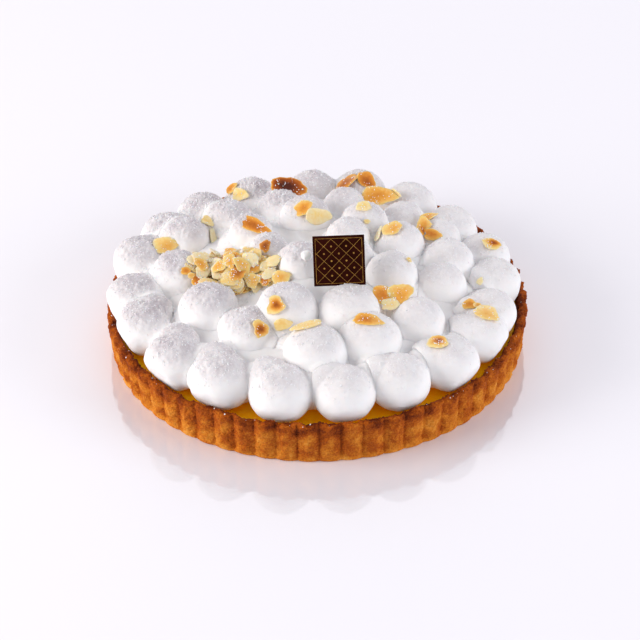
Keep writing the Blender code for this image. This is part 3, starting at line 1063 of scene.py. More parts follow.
    def build_bead(self, material: bpy.types.Material) -> bpy.types.Object:
        """Model the small bead that the nozzle left on the topmost mound.

        Args:
            material: The meringue.

        Returns:
            The piece.
        """
        bpy.ops.object.select_all(action="DESELECT")
        bpy.ops.mesh.primitive_ico_sphere_add(subdivisions=4, radius=self.bead, location=self.bead_place)
        obj = bpy.context.active_object
        obj.name = "meringue_bead"
        bpy.ops.object.transform_apply(location=True)
        roughen(obj, self.bead_lump, self.bead_lump_depth)
        set_attribute(obj, "dusted", np.zeros(len(obj.data.vertices)))
        return dress(obj, material)


def inner_radius(height: float) -> float:
    """The radius of the crust's inner wall at a height."""
    outer = FOOT_RADIUS + (RIM_RADIUS - FOOT_RADIUS) * height / WALL_HEIGHT
    return outer - FLUTE_DEPTH - WALL


@dataclass
class CrustShell:
    """The pastry shell: fluted wall, craggy rim and a floor under the curd."""

    steps_per_flute: int = 22
    wall_rows: int = 42
    rim_rows: int = 12
    crumb: float = 1.3 * MM
    crumb_depth: float = 2.2 * MM
    crag: float = 4.0 * MM
    crag_depth: float = 1.7 * MM
    lump: float = 7.0 * MM
    lump_depth: float = 2.4 * MM
    flute_power: float = 0.8
    foot_fill: float = 0.55
    thinned: tuple[float, float] = (0.4 * MM, 1.2 * MM)
    foot_edge: float = 0.5 * MM
    shoulder: float = 0.4 * MM
    crown_power: float = 0.7
    inner_rows: int = 12
    inner_step: float = 1.0 * MM

    def profile(self) -> list[tuple[float, float]]:
        """Draw the shell's section.

        Returns:
            Radius and height of each point, from the axis under the floor round to its top.
        """
        foot = FOOT_RADIUS - FLUTE_DEPTH
        top = WALL_HEIGHT - self.shoulder
        points = [(0.0, 0.0), (0.7 * foot, 0.0), (foot - 3 * MM, 0.0), (foot - 0.6 * MM, 0.0)]
        for row in range(self.wall_rows + 1):
            share = row / self.wall_rows
            height = self.foot_edge + share * (top - self.foot_edge)
            points.append((foot + (RIM_RADIUS - FOOT_RADIUS) * height / WALL_HEIGHT, height))
        outer = points[-1][0]
        inner = inner_radius(WALL_HEIGHT)
        middle = 0.5 * (outer + inner)
        for row in range(1, self.rim_rows):
            angle = math.pi * row / self.rim_rows
            rise = top + (RIM_CROWN + self.shoulder) * math.sin(angle) ** self.crown_power
            points.append((middle + 0.5 * (outer - inner) * math.cos(angle), rise))
        for row in range(self.inner_rows):
            height = top - row * self.inner_step
            points.append((inner_radius(height), height))
        return points + [(inner_radius(FLOOR), FLOOR), (0.6 * FOOT_RADIUS, FLOOR), (0.0, FLOOR)]

    def build(self, material: bpy.types.Material) -> bpy.types.Object:
        """Spin the section, push it into flutes, and roughen it.

        Args:
            material: The pastry.

        Returns:
            The piece.
        """
        obj = turned("baked_crust_shell", self.profile(), FLUTES * self.steps_per_flute)
        points = points_of(obj)
        radius = np.hypot(points[:, 0], points[:, 1])
        height = points[:, 2]
        azimuth = np.degrees(np.arctan2(points[:, 0], -points[:, 1]))
        along = ((azimuth - FLUTE_START) * FLUTES / 360.0) % 1.0
        bulge = np.sin(math.pi * along) ** self.flute_power
        bulge += (1 - bulge) * self.foot_fill * smooth_step(5 * MM, 0.0, height)
        outer = FOOT_RADIUS + (RIM_RADIUS - FOOT_RADIUS) * height / WALL_HEIGHT - FLUTE_DEPTH
        inner_top = inner_radius(WALL_HEIGHT)
        over = np.clip((radius - inner_top) / (RIM_RADIUS - FLUTE_DEPTH - inner_top), 0.0, 1.0)
        share = np.where(np.abs(radius - outer) < 0.7 * MM, 1.0, over * (height > WALL_HEIGHT - 0.5 * MM))
        under = smooth_step(0.9 * FOOT_RADIUS, FOOT_RADIUS - FLUTE_DEPTH, radius)
        share = np.where(height < 0.1 * MM, under, share)
        angle = np.radians(azimuth)
        waver = (np.sin(11 * angle + 1.0) + np.sin(29 * angle) + np.sin(67 * angle + 2.0)) / 3.0
        rim = smooth_step(WALL_HEIGHT - 2.5 * MM, WALL_HEIGHT + RIM_CROWN, height)
        inward = 1 - smooth_step(0.2, 0.8, over)
        climb = smooth_step(CURD_TOP - 1 * MM, WALL_HEIGHT - 0.5 * MM, height) * (radius > inner_top - 3 * MM)
        thinner = (self.thinned[0] + self.thinned[1] * bulge) * climb * (1 - over) * (share < 1.0)
        grow = 1 + (FLUTE_DEPTH * bulge * share + thinner) / np.maximum(radius, 1 * MM)
        points[:, 0] *= grow
        points[:, 1] *= grow
        points[:, 2] += RIM_CRAG * waver * rim
        move_points(obj, points)
        shown = smooth_step(0.6 * MM, 2.0 * MM, height) * (radius > 0.9 * FOOT_RADIUS)
        roughen(obj, self.lump, self.lump_depth, shown * (0.6 + 0.4 * rim))
        roughen(obj, self.crag, self.crag_depth, shown * (0.5 + 0.4 * rim), Relief.RIDGES)
        roughen(obj, self.crumb, self.crumb_depth, shown * (0.55 + 0.25 * rim))
        # Painted shade: the colour darkens in the creases of the flutes.
        crease = 1 - bulge
        low = smooth_step(7 * MM, 0.0, height)
        high = smooth_step(0.5 * WALL_HEIGHT, WALL_HEIGHT, height)
        browned = 0.10 + 0.32 * high + 0.16 * crease ** 3 * (share > 0.5) - 0.12 * low
        # Painted shadow on the rim's inner edge, by the curd; the outer part of the rim is a little lighter.
        browned += rim * (0.16 * inward - 0.06)
        # The inner wall above the curd is dark with painted shade.
        inside = (radius < inner_top - 0.2 * MM) & (height > FLOOR)
        set_attribute(obj, "browned", np.where(inside, 0.66, browned))
        return dress(obj, material, "crust")


@dataclass
class CurdFilling:
    """The curd, level but for a low ridge where it climbs the pastry."""

    sides: int = 248
    ridge: float = 0.7 * MM
    climb: float = 4.0 * MM
    clear: float = 0.05 * MM
    ridge_rows: int = 6
    level_rows: int = 12
    ripple: float = 11.0 * MM
    ripple_depth: float = 0.5 * MM

    def build(self, material: bpy.types.Material) -> bpy.types.Object:
        """Turn the filling, and ripple its top.

        Args:
            material: The curd.

        Returns:
            The piece.
        """
        bottom = FLOOR + GAP
        edge = inner_radius(CURD_TOP) - self.clear
        profile = [(0.0, bottom), (inner_radius(bottom) - GAP, bottom), (edge, CURD_TOP + self.ridge)]
        for row in range(1, self.ridge_rows + 1):
            share = row / self.ridge_rows
            profile.append((edge - self.climb * share, CURD_TOP + self.ridge * (1 - share) ** 2))
        for row in range(1, self.level_rows):
            profile.append(((edge - self.climb) * (1 - row / self.level_rows), CURD_TOP))
        obj = turned("set_curd_filling", profile + [(0.0, CURD_TOP)], self.sides)
        upper = points_of(obj)[:, 2] > CURD_TOP - 1 * MM
        roughen(obj, self.ripple, self.ripple_depth, upper.astype(float))
        return dress(obj, material, "lemon_curd")


@dataclass(frozen=True)
class Flake:
    """One loose almond flake.

    Its place and size are in mm, its heading and tilt in degrees. A flake with a height doesn't settle on
    what is below it: it leans there, face to the front, as steeply as its tilt.
    """

    x: float
    y: float
    length: float
    width: float
    heading: float
    toast: Toast
    curl: float = 0.0
    tilt: float = 0.0
    height: float | None = None


LOOSE_FLAKES = (
    Flake(-52.0, 90.0, 9.5, 8.0, 15, Toast.AMBER, 0.3),
    Flake(-46.7, 82.1, 12.5, 8.0, -15, Toast.STRAW, 0.2, 6),
    Flake(-16.5, 75.0, 22.5, 15.0, -12, Toast.DARK, 0.1, 38, 55.0),
    Flake(2.0, 38.0, 19.0, 10.0, -5, Toast.STRAW, 0.2, 5),
    Flake(-7.6, 40.0, 13.5, 9.0, 13, Toast.AMBER, 0.6, 10),
    Flake(-36.9, 25.6, 23.0, 8.5, -33, Toast.CARAMEL, 0.1, 6),
    Flake(-89.9, 26.0, 16.0, 11.0, 5, Toast.GOLD),
    Flake(-66.0, 46.0, 10.5, 6.5, -10, Toast.STRAW, 0.6, 5),
    Flake(-62.0, 38.0, 12.0, 5.0, -55, Toast.PALE, 0.3),
    Flake(-76.5, -9.0, 6.5, 5.0, -5, Toast.AMBER),
    Flake(-73.5, -11.5, 5.0, 3.5, 40, Toast.GOLD),
    Flake(-23.7, -56.4, 12.0, 11.5, -18, Toast.SPOTTED),
    Flake(-32.3, -66.4, 11.5, 10.5, 22, Toast.SPOTTED),
    Flake(-19.3, -63.4, 11.0, 7.0, 25, Toast.STRAW, 0.2),
    Flake(-6.1, -70.0, 19.0, 8.5, 6, Toast.STRAW, 0.1, 14),
    Flake(19.5, 90.0, 19.0, 9.5, 45, Toast.CARAMEL, 0.1, 5),
    Flake(32.0, 91.0, 15.0, 9.5, -45, Toast.CARAMEL, 0.2, 10),
    Flake(38.5, 71.0, 24.0, 13.0, 2, Toast.AMBER, 0.0, 30, 51.5),
    Flake(49.5, 73.8, 9.0, 5.0, -30, Toast.STRAW),
    Flake(28.9, 38.6, 9.5, 7.0, 0, Toast.STRAW, 0.8),
    Flake(37.0, 21.5, 11.0, 8.5, 35, Toast.PALE),
    Flake(45.1, 17.9, 13.0, 11.0, 6, Toast.GOLD, 0.2),
    Flake(67.5, 42.0, 13.0, 6.5, 10, Toast.AMBER, 0.6, 12),
    Flake(64.9, 35.0, 11.0, 8.0, -25, Toast.GOLD, 0.7, 8),
    Flake(63.5, 29.0, 9.0, 5.0, 80, Toast.CARAMEL, 0.2),
    Flake(68.9, 25.8, 13.0, 7.0, -9, Toast.AMBER, 0.4, 6),
    Flake(105.0, 22.5, 12.0, 8.5, -1, Toast.SPOTTED),
    Flake(42.0, -47.0, 12.0, 7.5, 5, Toast.STRAW, 0.2, 30, 54.5),
    Flake(38.5, -41.5, 14.0, 12.0, -40, Toast.AMBER, 0.1, 28, 57.0),
    Flake(48.0, -41.0, 17.0, 12.5, 35, Toast.GOLD, 0.1, 30, 57.5),
    Flake(29.5, -68.0, 18.0, 8.5, -8, Toast.AMBER, 0.2, 6),
    Flake(88.5, -37.3, 9.0, 7.0, -20, Toast.AMBER, 0.2),
    Flake(93.0, -39.5, 6.0, 4.5, 30, Toast.GOLD),
    Flake(97.7, -48.5, 16.5, 12.5, -48, Toast.GOLD, 0.1, 5),
    Flake(68.4, -76.0, 12.5, 11.0, -20, Toast.SPOTTED, 0.1, 4),
    Flake(-30.0, 1.0, 10.0, 6.5, 60, Toast.CARAMEL, 0.5, 12),
    Flake(-25.0, -9.0, 10.0, 7.5, 10, Toast.PALE, 0.1),
    Flake(-20.5, -19.0, 12.0, 9.5, 20, Toast.GOLD),
    Flake(-72.0, 22.0, 11.0, 6.5, 30, Toast.STRAW, 0.3, 8),
    Flake(30.5, 29.5, 4.5, 3.0, 10, Toast.STRAW, 0.4),
    Flake(54.1, -13.0, 4.0, 2.5, -20, Toast.STRAW, 0.3),
    Flake(96.0, -11.3, 5.5, 3.5, 70, Toast.PALE),
)


@dataclass
class TopSurface:
    """The height of whatever lies uppermost, on a square grid, so that flakes can be laid on it."""

    cell: float = 1.0 * MM
    half: float = 130.0 * MM
    heights: np.ndarray = field(init=False)

    def __post_init__(self) -> None:
        """Start from the bare curd."""
        side = round(2 * self.half / self.cell) + 1
        self.heights = np.full((side, side), CURD_TOP)

    def cells(self, points: np.ndarray) -> tuple[np.ndarray, np.ndarray]:
        """Find the grid cells under points.

        Args:
            points: The points.

        Returns:
            The cells' numbers along X and along Y.
        """
        steps = np.round((points[:, :2] + self.half) / self.cell).astype(int)
        steps = np.clip(steps, 0, len(self.heights) - 1)
        return steps[:, 0], steps[:, 1]

    def cover(self, points: np.ndarray) -> None:
        """Raise the surface to the points that lie on it."""
        np.maximum.at(self.heights, self.cells(points), points[:, 2])

    def under(self, points: np.ndarray) -> np.ndarray:
        """The surface's height under points."""
        return self.heights[self.cells(points)]


@dataclass
class AlmondFlakes:
    """The loose flakes on the mounds, and the heap of them beside the plaque."""

    surface: TopSurface
    thick: float = 0.9 * MM
    taper: float = 0.16
    bend: float = 0.05
    snapped: float = 0.35
    heap_count: int = 112
    heap_tilt: float = 13.0
    heap_steepest: float = 0.6
    heap_facing: float = 0.2
    heap_bearing: float = 68.0
    heap_top: tuple[float, float] = (60.5 * MM, 4.5 * MM)
    heap_tries: int = 40
    heap_reach: float = 3.5 * MM
    heap_browner: float = 0.12
    heap_lengths: tuple[float, float] = (8.5 * MM, 14.5 * MM)
    heap_widths: tuple[float, float] = (6.0 * MM, 9.5 * MM)
    heap_curl: float = 0.35
    heap_middle: tuple[float, float] = (-46.0 * MM, -3.5 * MM)
    heap_spread: tuple[float, float] = (27.0 * MM, 19.5 * MM)
    seed: int = 11
    points: list[np.ndarray] = field(default_factory=list)
    toasts: list[np.ndarray] = field(default_factory=list)

    def model(self) -> tuple[np.ndarray, np.ndarray]:
        """Model one round thin disc with rounded edges, of radius 1 and thickness 1.

        Returns:
            Its points and its triangles.
        """
        bpy.ops.object.select_all(action="DESELECT")
        bpy.ops.mesh.primitive_uv_sphere_add(segments=30, ring_count=14, radius=1.0)
        points, triangles = taken_shape(bpy.context.active_object)
        # The sphere's faces come in another order each run: sorted, the sugar keeps its places
        start = triangles.argmin(axis=1)[:, None]
        triangles = np.take_along_axis(triangles, (start + np.arange(3)) % 3, axis=1)
        triangles = triangles[np.lexsort(triangles.T)]
        polar = np.arccos(np.clip(np.abs(points[:, 2]), 0, 1)) / (0.5 * math.pi)
        level = np.hypot(points[:, 0], points[:, 1]) + 1e-9
        side = np.sign(points[:, 2])
        flat = points[:, :2] / level[:, None] * polar[:, None] ** 0.7
        height = side * 0.5 * np.sqrt(np.maximum(0.0, 1 - polar ** 7))
        return np.column_stack((flat, height)), triangles

    def shaped(
        self, disc: np.ndarray, size: tuple[float, float], curl: float, rng: np.random.Generator
    ) -> np.ndarray:
        """Give the disc a flake's outline and bend.

        Args:
            disc: Points of the plain disc.
            size: Length and width in metres.
            curl: How far one long side rolls up, from 0 to 1.
            rng: The seeded source of chance.

        Returns:
            The flake's points, its long axis along X and its middle at the origin.
        """
        length, width = size
        x, y, z = disc.T
        angle = np.arctan2(y, x)
        phase = rng.uniform(0, math.tau, 4)
        ragged = (
            1 + 0.06 * np.sin(3 * angle + phase[0]) + 0.045 * np.sin(5 * angle + phase[1])
            + 0.02 * np.sin(11 * angle + phase[2]) + 0.012 * np.sin(19 * angle + phase[3]))
        point = 1 - 0.12 * np.clip(x, 0, 1) ** 3
        across = y * (1 - self.taper * x) * point * ragged
        long = x * ragged
        if rng.uniform() < self.snapped:
            long = np.maximum(long, -rng.uniform(0.55, 0.85) + 0.08 * np.sin(6 * across + phase[1]))
        lift = -self.bend * length * long ** 2 - 0.05 * width * across ** 2
        lift += 0.04 * width * np.clip(np.hypot(x, y), 0, 1) ** 4
        lift += 0.45 * curl * width * np.clip(across, 0, 1) ** 2
        lift += 0.03 * length * np.sin(2.2 * long + phase[0]) * across
        return np.column_stack((0.5 * length * long, 0.5 * width * across, self.thick * z + lift))

    def lay(
        self,
        disc: np.ndarray,
        shape: np.ndarray,
        middle: np.ndarray,
        heading: float,
        tilt: tuple[float, float],
        toast: Toast,
        rng: np.random.Generator,
        steepest: float = math.inf,
        facing: float = 0.0,
        bearing: float = 88.0,
    ) -> None:
        """Let one shaped flake settle on what lies below it, and note how brown each of its points is.

        Args:
            disc: Points of the plain disc.
            shape: Points of the flake.
            middle: About where its middle is.
            heading: Which way its long axis points, in radians.
            tilt: How far it leans off what it rests on, along and across, in radians.
            toast: How it browned.
            rng: The seeded source of chance.
            steepest: The steepest slope that it comes to rest at.
            facing: How much its face leans to the front, as a slope.
            bearing: The share of its underside, in percent, that stays above what it lies on.
        """
        ahead = np.array((math.cos(heading), math.sin(heading), 0.0))
        along, across, normal = ahead, np.cross(UP, ahead), UP
        if middle[2] > 0:
            normal = np.array((0.0, -math.sin(tilt[1]), math.cos(tilt[1])))
            along = unit(ahead - normal * (ahead @ normal))
            body = shape @ np.stack((along, np.cross(normal, along), normal))
            self.keep(disc, middle + body, toast, rng)
            return
        for _ in range(3):
            away = shape[:, :1] * along + shape[:, 1:2] * across
            heights = self.surface.under(middle + away)
            terms = np.column_stack((np.ones(len(away)), away[:, :2]))
            carrying = np.ones(len(away), bool)
            for _ in range(3):
                level, *slope = np.linalg.lstsq(terms[carrying], heights[carrying], rcond=None)[0]
                over = heights - terms @ np.array((level, *slope))
                carrying = over >= np.percentile(over, 45)
            eased = min(1.0, steepest / (math.hypot(*slope) + 1e-9))
            normal = unit(np.array((-slope[0] * eased, -slope[1] * eased - facing, 1.0)))
            along = unit(ahead - normal * (ahead @ normal))
            across = np.cross(normal, along)
        for angle, turn in zip(tilt, ("along", "across")):
            cosine, sine = math.cos(angle), math.sin(angle)
            if turn == "along":
                along, normal = along * cosine + normal * sine, normal * cosine - along * sine
            else:
                across, normal = across * cosine + normal * sine, normal * cosine - across * sine
        place = np.array((middle[0], middle[1], level))
        body = shape @ np.stack((along, across, normal))
        above = self.surface.under(place + body) - (place + body)[:, 2]
        place = place + UP * (np.percentile(above[shape[:, 2] <= np.median(shape[:, 2])], bearing) + 0.1 * MM)
        self.keep(disc, place + body, toast, rng)

    def keep(self, disc: np.ndarray, placed: np.ndarray, toast: Toast, rng: np.random.Generator) -> None:
        """Add a flake's placed points, and how brown each is with a painted highlight on its edge, to those
        laid so far.

        Args:
            disc: Points of the plain disc.
            placed: Points of the flake, in their places.
            toast: How it browned.
            rng: The seeded source of chance.
        """
        self.points.append(placed)
        self.surface.cover(placed)
        ring = np.clip(np.hypot(disc[:, 0], disc[:, 1]), 0.0, 1.0)
        inner, edge = toast.value
        shift = rng.uniform(-0.2, 0.2, 2)
        off = np.hypot(disc[:, 0] - shift[0], disc[:, 1] - shift[1])
        sharp = 3.0 if toast is Toast.SPOTTED else 1.5
        browned = edge + (inner - edge) * np.exp(-sharp * off ** 2)
        # The pale rim at the flake's cut edge is a painted highlight, as of rim light, not a lighter toast.
        rim = smooth_step(0.88, 1.0, ring)
        self.toasts.append(browned * (1 - 0.6 * rim) + rng.uniform(-0.04, 0.04))

    def finish_piece(
        self, name: str, triangles: np.ndarray, material: bpy.types.Material, node: str | None
    ) -> bpy.types.Object:
        """Join the flakes laid so far into one piece.

        Args:
            name: The piece's name.
            triangles: The triangles of one flake.
            material: The almonds.
            node: The solid that the piece replaces, if any.

        Returns:
            The piece.
        """
        count = len(self.points[0])
        steps = (np.arange(len(self.points)) * count)[:, None, None]
        mesh = bpy.data.meshes.new(name)
        mesh.from_pydata(np.concatenate(self.points), [], (triangles[None] + steps).reshape(-1, 3))
        obj = bpy.data.objects.new(name, mesh)
        bpy.context.scene.collection.objects.link(obj)
        set_attribute(obj, "toast", np.concatenate(self.toasts))
        self.points.clear()
        self.toasts.clear()
        return dress(obj, material, node)

    def low_place(self, rng: np.random.Generator) -> np.ndarray | None:
        """Pick a place on the heap where it isn't full yet.

        Args:
            rng: The seeded source of chance.

        Returns:
            The place, level with the floor, or None once the heap is full.
        """
        for _ in range(self.heap_tries):
            distance = rng.uniform(0.0, 1.0) ** 0.75
            angle = rng.uniform(0, math.tau)
            place = np.array((
                self.heap_middle[0] + math.cos(angle) * distance * self.heap_spread[0],
                self.heap_middle[1] + math.sin(angle) * distance * self.heap_spread[1], 0.0))
            ring = place + self.heap_reach * np.array([plan_direction(way) for way in range(0, 360, 45)])
            if self.surface.under(ring).max() < self.heap_top[0] - self.heap_top[1] * distance ** 2:
                return place
        return None

    def build_heap(self, material: bpy.types.Material) -> bpy.types.Object:
        """Pile flakes of many sizes on the heap's place, thickest in the middle.

        Args:
            material: The almonds.

        Returns:
            The piece.
        """
        disc, triangles = self.model()
        rng = np.random.default_rng(self.seed + 1)
        kinds = (Toast.PALE, Toast.STRAW, Toast.GOLD, Toast.AMBER, Toast.CARAMEL)
        steepest = math.radians(self.heap_tilt)
        for _ in range(self.heap_count):
            place = self.low_place(rng)
            if place is None:
                break
            behind = place[0] > self.heap_middle[0] and place[1] > self.heap_middle[1]
            browner = self.heap_browner if behind else 0.0
            weights = np.array((0.26, 0.32, 0.28 - browner, 0.10, 0.04 + browner))
            toast = kinds[rng.choice(len(kinds), p=weights / weights.sum())]
            size = (rng.uniform(*self.heap_lengths), rng.uniform(*self.heap_widths))
            shape = self.shaped(disc, size, rng.uniform(0, self.heap_curl), rng)
            tilt = tuple(rng.uniform(-steepest, steepest, 2) * (0.5, 1.0))
            heading = rng.uniform(0, math.tau)
            self.lay(
                disc, shape, place, heading, tilt, toast, rng, self.heap_steepest, self.heap_facing,
                self.heap_bearing)
        return self.finish_piece("heap_of_almond_flakes", triangles, material, "almond_heap")

    def build_loose(self, material: bpy.types.Material) -> bpy.types.Object:
        """Lay each loose flake where it is seen.

        Args:
            material: The almonds.

        Returns:
            The piece.
        """
        disc, triangles = self.model()
        rng = np.random.default_rng(self.seed)
        for flake in LOOSE_FLAKES:
            middle = np.array((flake.x, flake.y, flake.height or 0.0)) * MM
            shape = self.shaped(disc, (flake.length * MM, flake.width * MM), flake.curl, rng)
            tilt = (math.radians(rng.uniform(-4, 4)), math.radians(flake.tilt))
            self.lay(disc, shape, middle, math.radians(flake.heading), tilt, flake.toast, rng)
        return self.finish_piece("loose_almond_flakes", triangles, material, None)


@dataclass
class ChocolatePlaque:
    """The square plaque, which leans back, and the lattice printed on its face."""

    wide: float = 29.8 * MM
    tall: float = 29.4 * MM
    thick: float = 1.4 * MM
    foot: tuple[float, float, float] = (13.6 * MM, -33.0 * MM, 58.2 * MM)
    lean: float = 23.0
    roll: float = -1.7
    edge: float = 0.3 * MM
    line: float = 0.22 * MM
    film: float = 0.05 * MM
    lattice: float = 8.6 * MM
    border: float = 1.5 * MM
    dot: float = 0.55 * MM
    dot_clear: float = 3.0 * MM
    corners_round: float = 35.0

    def stand(self, obj: bpy.types.Object) -> None:
        """Turn a piece from the plaque's own frame, foot at the origin, to its place.

        Args:
            obj: The piece.
        """
        select_only(obj)
        obj.matrix_world = self.turn() @ obj.matrix_world
        bpy.context.view_layer.update()
        bpy.ops.object.transform_apply(location=True, rotation=True, scale=True)

    def turn(self) -> Matrix:
        """Work out the plaque's place.

        Returns:
            The matrix from the plaque's own frame to the tart's.
        """
        turn = Euler((math.radians(-self.lean), math.radians(self.roll), 0.0), "XYZ").to_matrix().to_4x4()
        turn.translation = Vector(self.foot)
        return turn

    def build(self, material: bpy.types.Material) -> bpy.types.Object:
        """Model the slab with rounded edges.

        Args:
            material: The chocolate.

        Returns:
            The piece.
        """
        bpy.ops.object.select_all(action="DESELECT")
        bpy.ops.mesh.primitive_cube_add(size=1.0, location=(0, 0, 0.5 * self.tall))
        slab = bpy.context.active_object
        slab.name = "chocolate_plaque_slab"
        slab.scale = (self.wide, self.thick, self.tall)
        bpy.ops.object.transform_apply(location=True, scale=True)
        bpy.ops.object.modifier_add(type="BEVEL")
        bevel = slab.modifiers[-1]
        bevel.width = self.edge
        bevel.segments = 3
        bpy.ops.object.modifier_apply(modifier=bevel.name)
        self.stand(slab)
        dress(slab, material, "chocolate_plaque")
        select_only(slab)
        bpy.ops.object.shade_smooth_by_angle(angle=math.radians(self.corners_round))
        return slab

    def strokes(self) -> list[tuple[np.ndarray, np.ndarray]]:
        """Lay out the border and the lattice.

        Returns:
            The two ends of each printed line, on the face, across and up.
        """
        half, low = 0.5 * self.wide - self.border, self.border
        high = self.tall - self.border
        corners = [np.array(p) for p in ((-half, low), (half, low), (half, high), (-half, high))]
        lines = [(corners[n], corners[(n + 1) % 4]) for n in range(4)]
        inset = 1.6 * self.line
        box_low = np.array((-half + inset, low + inset))
        box_high = np.array((half - inset, high - inset))
        middle = 0.5 * (box_low + box_high)
        for slope in (-1.0, 1.0):
            way = unit(np.array((1.0, slope)))
            side = np.array((-way[1], way[0]))
            for number in range(-3, 4):
                start = middle + side * number * self.lattice * math.sqrt(0.5)
                with np.errstate(divide="ignore"):
                    ends = np.stack(((box_low - start) / way, (box_high - start) / way))
                first, last = ends.min(axis=0).max(), ends.max(axis=0).min()
                if last - first > 2 * self.line:
                    lines.append((start + way * first, start + way * last))
        return lines

    def build_print(self, material: bpy.types.Material) -> bpy.types.Object:
        """Lay the border, the diamond lattice and a dot in each diamond on the face.

        Args:
            material: The print.

        Returns:
            The piece.
        """
        pieces = []
        front = -0.5 * self.thick - 0.3 * self.film
        for start, end in self.strokes():
            bpy.ops.object.select_all(action="DESELECT")
            bpy.ops.mesh.primitive_cube_add(size=1.0)
            bar = bpy.context.active_object
            run = end - start
            length = float(np.linalg.norm(run)) + self.line
            bar.scale = (length, self.film, self.line)
            middle = 0.5 * (start + end)
            bar.location = (middle[0], front, middle[1])
            bar.rotation_euler = (0, -math.atan2(run[1], run[0]), 0)
            pieces.append(bar)
        half = self.lattice * 0.5
        for column in range(-3, 4):
            for row in range(-3, 4):
                if (column + row) % 2 == 0:
                    continue
                across, up = column * half, row * half
                outside = abs(across) > 0.5 * self.wide - self.dot_clear
                if outside or abs(up) > 0.5 * self.tall - self.dot_clear:
                    continue
                bpy.ops.object.select_all(action="DESELECT")
                bpy.ops.mesh.primitive_cylinder_add(
                    vertices=14, radius=self.dot, depth=self.film,
                    location=(across, front, 0.5 * self.tall + up), rotation=(math.radians(90), 0, 0))
                pieces.append(bpy.context.active_object)
        bpy.ops.object.select_all(action="DESELECT")
        for piece in pieces:
            piece.select_set(True)
        bpy.context.view_layer.objects.active = pieces[0]
        bpy.ops.object.join()
        obj = bpy.context.active_object
        obj.name = "gold_lattice_print"
        bpy.ops.object.transform_apply(location=True, rotation=True, scale=True)
        self.stand(obj)
        dress(obj, material)
        obj.data.shade_flat()
        return obj


@dataclass
class SugarDusting:
    """Icing sugar that fell on the meringue, the almonds and the rim, more of it on the left."""

    seed: int = 5
    on_meringue: int = 380
    on_loose: int = 420
    on_heap: int = 2600
    on_rim: int = 60
    smallest: float = 0.14 * MM
    largest: float = 0.46 * MM
    patch_waves: np.ndarray = field(default_factory=lambda: np.array(
        ((0.71, 0.32, 0.2), (-0.43, 0.83, 0.1), (1.13, -0.74, 0.4), (0.37, 1.31, -0.3))))

    def grain(self) -> tuple[np.ndarray, np.ndarray]:
        """Model one grain, of radius 1 and twenty faces.

        Returns:
            Its points and its triangles.
        """
        bpy.ops.object.select_all(action="DESELECT")
        bpy.ops.mesh.primitive_ico_sphere_add(subdivisions=1, radius=1.0)
        return taken_shape(bpy.context.active_object)

    def strew(
        self, name: str, spots: list[tuple[np.ndarray, np.ndarray]], material: bpy.types.Material,
        rng: np.random.Generator,
    ) -> bpy.types.Object:
        """Put a grain on each spot.

        Args:
            name: The piece's name.
            spots: Places and normals.
            material: The grains' material.
            rng: The seeded source of chance.

        Returns:
            The piece.
        """
        places = np.concatenate([place for place, _ in spots])
        normals = np.concatenate([normal for _, normal in spots])
        sizes = self.smallest + (self.largest - self.smallest) * rng.power(0.6, len(places))
        stretch = rng.uniform(0.7, 1.3, (len(places), 1, 3))
        turns = random_turns(len(places), rng) * stretch * sizes[:, None, None]
        obj = joined(name, self.grain(), places + normals * 0.3 * sizes[:, None], turns)
        return dress(obj, material)

    def upward(self, middles: np.ndarray, normals: np.ndarray) -> np.ndarray:
        """Weigh faces for sugar that lies in patches on what faces up.

        Args:
            middles: The middles of the faces.
            normals: The normals of the faces.

        Returns:
            A weight for each face.
        """
        waves = middles @ self.patch_waves.T / MM
        patchy = 0.25 + smooth_step(-0.6, 1.4, np.sin(waves).sum(axis=1))
        return smooth_step(0.35, 0.9, normals[:, 2]) * patchy

    def on_rim_only(self, middles: np.ndarray, normals: np.ndarray) -> np.ndarray:
        """Weigh faces for sugar on the rim: those near its height that face up."""
        return (middles[:, 2] > WALL_HEIGHT - 0.5 * MM) * np.clip(normals[:, 2], 0.0, 1.0)

    def build(
        self,
        top: MeringueTop,
        loose: bpy.types.Object,
        heap: bpy.types.Object,
        crust: bpy.types.Object,
        material: bpy.types.Material,
    ) -> None:
        """Strew sugar on everything that faces up.

        Args:
            top: The mounds.
            loose: The loose flakes.
            heap: The heap of flakes.
            crust: The shell.
            material: The sugar.
        """
        rng = np.random.default_rng(self.seed)
        for ring in ("outer", "second", "third", "centre"):
            spots = []
            for mound in top.mounds:
                if ring not in mound.name:
                    continue
                fallen = 0.55 + 0.45 * smooth_step(-60 * MM, 60 * MM, -mound.centre[0])
                count = round(self.on_meringue * float(fallen))
                spots.append(scatter(top.objects[mound.name], count, rng, self.upward))
            self.strew(f"sugar_on_{ring}_mounds", spots, material, rng)
        pieces = ((loose, self.on_loose), (heap, self.on_heap))
        almonds = [scatter(piece, count, rng, self.upward) for piece, count in pieces]
        self.strew("sugar_on_almonds", almonds, material, rng)
        self.strew("sugar_on_rim", [scatter(crust, self.on_rim, rng, self.on_rim_only)], material, rng)


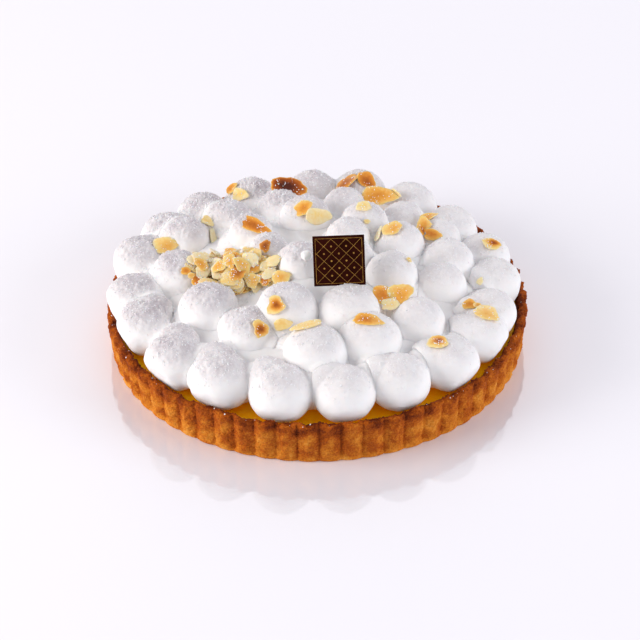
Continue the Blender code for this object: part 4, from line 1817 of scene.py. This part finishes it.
@dataclass
class Studio:
    """The floor, the soft lights and the camera."""

    elevation: float = 36.06
    distance: float = 1500.0 * MM
    focal_pixels: float = 2494.3
    aim_right: float = 1.8 * MM
    aim_up: float = 7.84 * MM
    roll: float = 0.6656
    picture: int = 640
    sensor: float = 36.0
    aim_height: float = 30.0 * MM

    def lay_floor(self) -> None:
        """A plain pale board under the tart."""
        bpy.ops.object.select_all(action="DESELECT")
        bpy.ops.mesh.primitive_plane_add(size=8.0, location=(0, 0, -0.05 * MM))
        floor = bpy.context.active_object
        floor.name = "studio_floor"
        floor.data.materials.append(StudioBoard().material())

    def light(
        self, name: str, place: Sequence[float], size: float, power: float, colour: str,
        mirrored: bool = False,
    ) -> None:
        """Hang a square soft light that looks at the tart.

        Args:
            name: The light's name.
            place: Where it hangs.
            size: Its width.
            power: Its power in watts.
            colour: Its colour as a hex value.
            mirrored: Whether it is seen in what is glossy.
        """
        lamp = bpy.data.lights.new(name, "AREA")
        lamp.size = size
        lamp.energy = power
        lamp.color = linear(colour)[:3]
        obj = bpy.data.objects.new(name, lamp)
        obj.location = place
        aim = Vector((0, 0, self.aim_height)) - Vector(place)
        obj.rotation_euler = aim.to_track_quat("-Z", "Y").to_euler()
        obj.visible_glossy = mirrored
        bpy.context.scene.collection.objects.link(obj)

    def build(self) -> None:
        """Set up the floor, the lights, the sky and the camera."""
        self.lay_floor()
        self.light("left_softbox", (-1.5, -0.35, 0.62), 1.0, 24.0, "#FFFBF8")
        self.light("right_softbox", (1.4, -0.45, 0.55), 1.0, 13.5, "#FAFBFF")
        self.light("low_front_softbox", (0.15, -1.6, 0.4), 1.2, 1.6, "#FFFCFA")
        self.light("back_softbox", (0.1, 1.4, 0.9), 1.2, 5.0, "#FAF8FF", True)
        world = bpy.data.worlds.new("white_room")
        world.use_nodes = True
        background = world.node_tree.nodes["Background"]
        background.inputs["Color"].default_value = linear("#F5F4F8")
        background.inputs["Strength"].default_value = 0.5
        bpy.context.scene.world = world
        bpy.context.scene.view_settings.view_transform = "Standard"
        self.place_camera()

    def place_camera(self) -> None:
        """Look down on the tart from the front, as in the picture."""
        tilt = math.radians(self.elevation)
        back = Vector((0.0, -math.cos(tilt), math.sin(tilt)))
        up = Vector((0.0, math.sin(tilt), math.cos(tilt)))
        right = Vector((1.0, 0.0, 0.0))
        lens = bpy.data.cameras.new("camera")
        lens.sensor_width = self.sensor
        lens.lens = self.focal_pixels / self.picture * lens.sensor_width
        camera = bpy.data.objects.new("camera", lens)
        turn = (-back).to_track_quat("-Z", "Y").to_euler()
        turn.rotate_axis("Z", math.radians(-self.roll))
        camera.rotation_euler = turn
        camera.location = back * self.distance + up * self.aim_up + right * self.aim_right
        bpy.context.scene.collection.objects.link(camera)
        bpy.context.scene.camera = camera


def main() -> None:
    """Build the tart piece by piece, and the studio round it."""
    logging.basicConfig(level=logging.INFO, format="%(relativeCreated)d ms %(name)s: %(message)s")
    Studio().build()
    crust = CrustShell().build(BakedCrust().material())
    CurdFilling().build(SetCurd().material())
    top = MeringueTop()
    top.lay_out()
    meringue = PipedMeringue().material()
    top.build(meringue)
    between = top.build_between(meringue)
    top.build_bead(meringue)
    almond = ToastedAlmond().material()
    surface = TopSurface()
    for mound in (*top.objects.values(), between):
        surface.cover(points_of(mound))
    flakes = AlmondFlakes(surface)
    heap = flakes.build_heap(almond)
    loose = flakes.build_loose(almond)
    plaque = ChocolatePlaque()
    plaque.build(DarkChocolate().material())
    plaque.build_print(GoldPrint().material())
    SugarDusting().build(top, loose, heap, crust, IcingSugar().material())


if __name__ == "__main__":
    main()
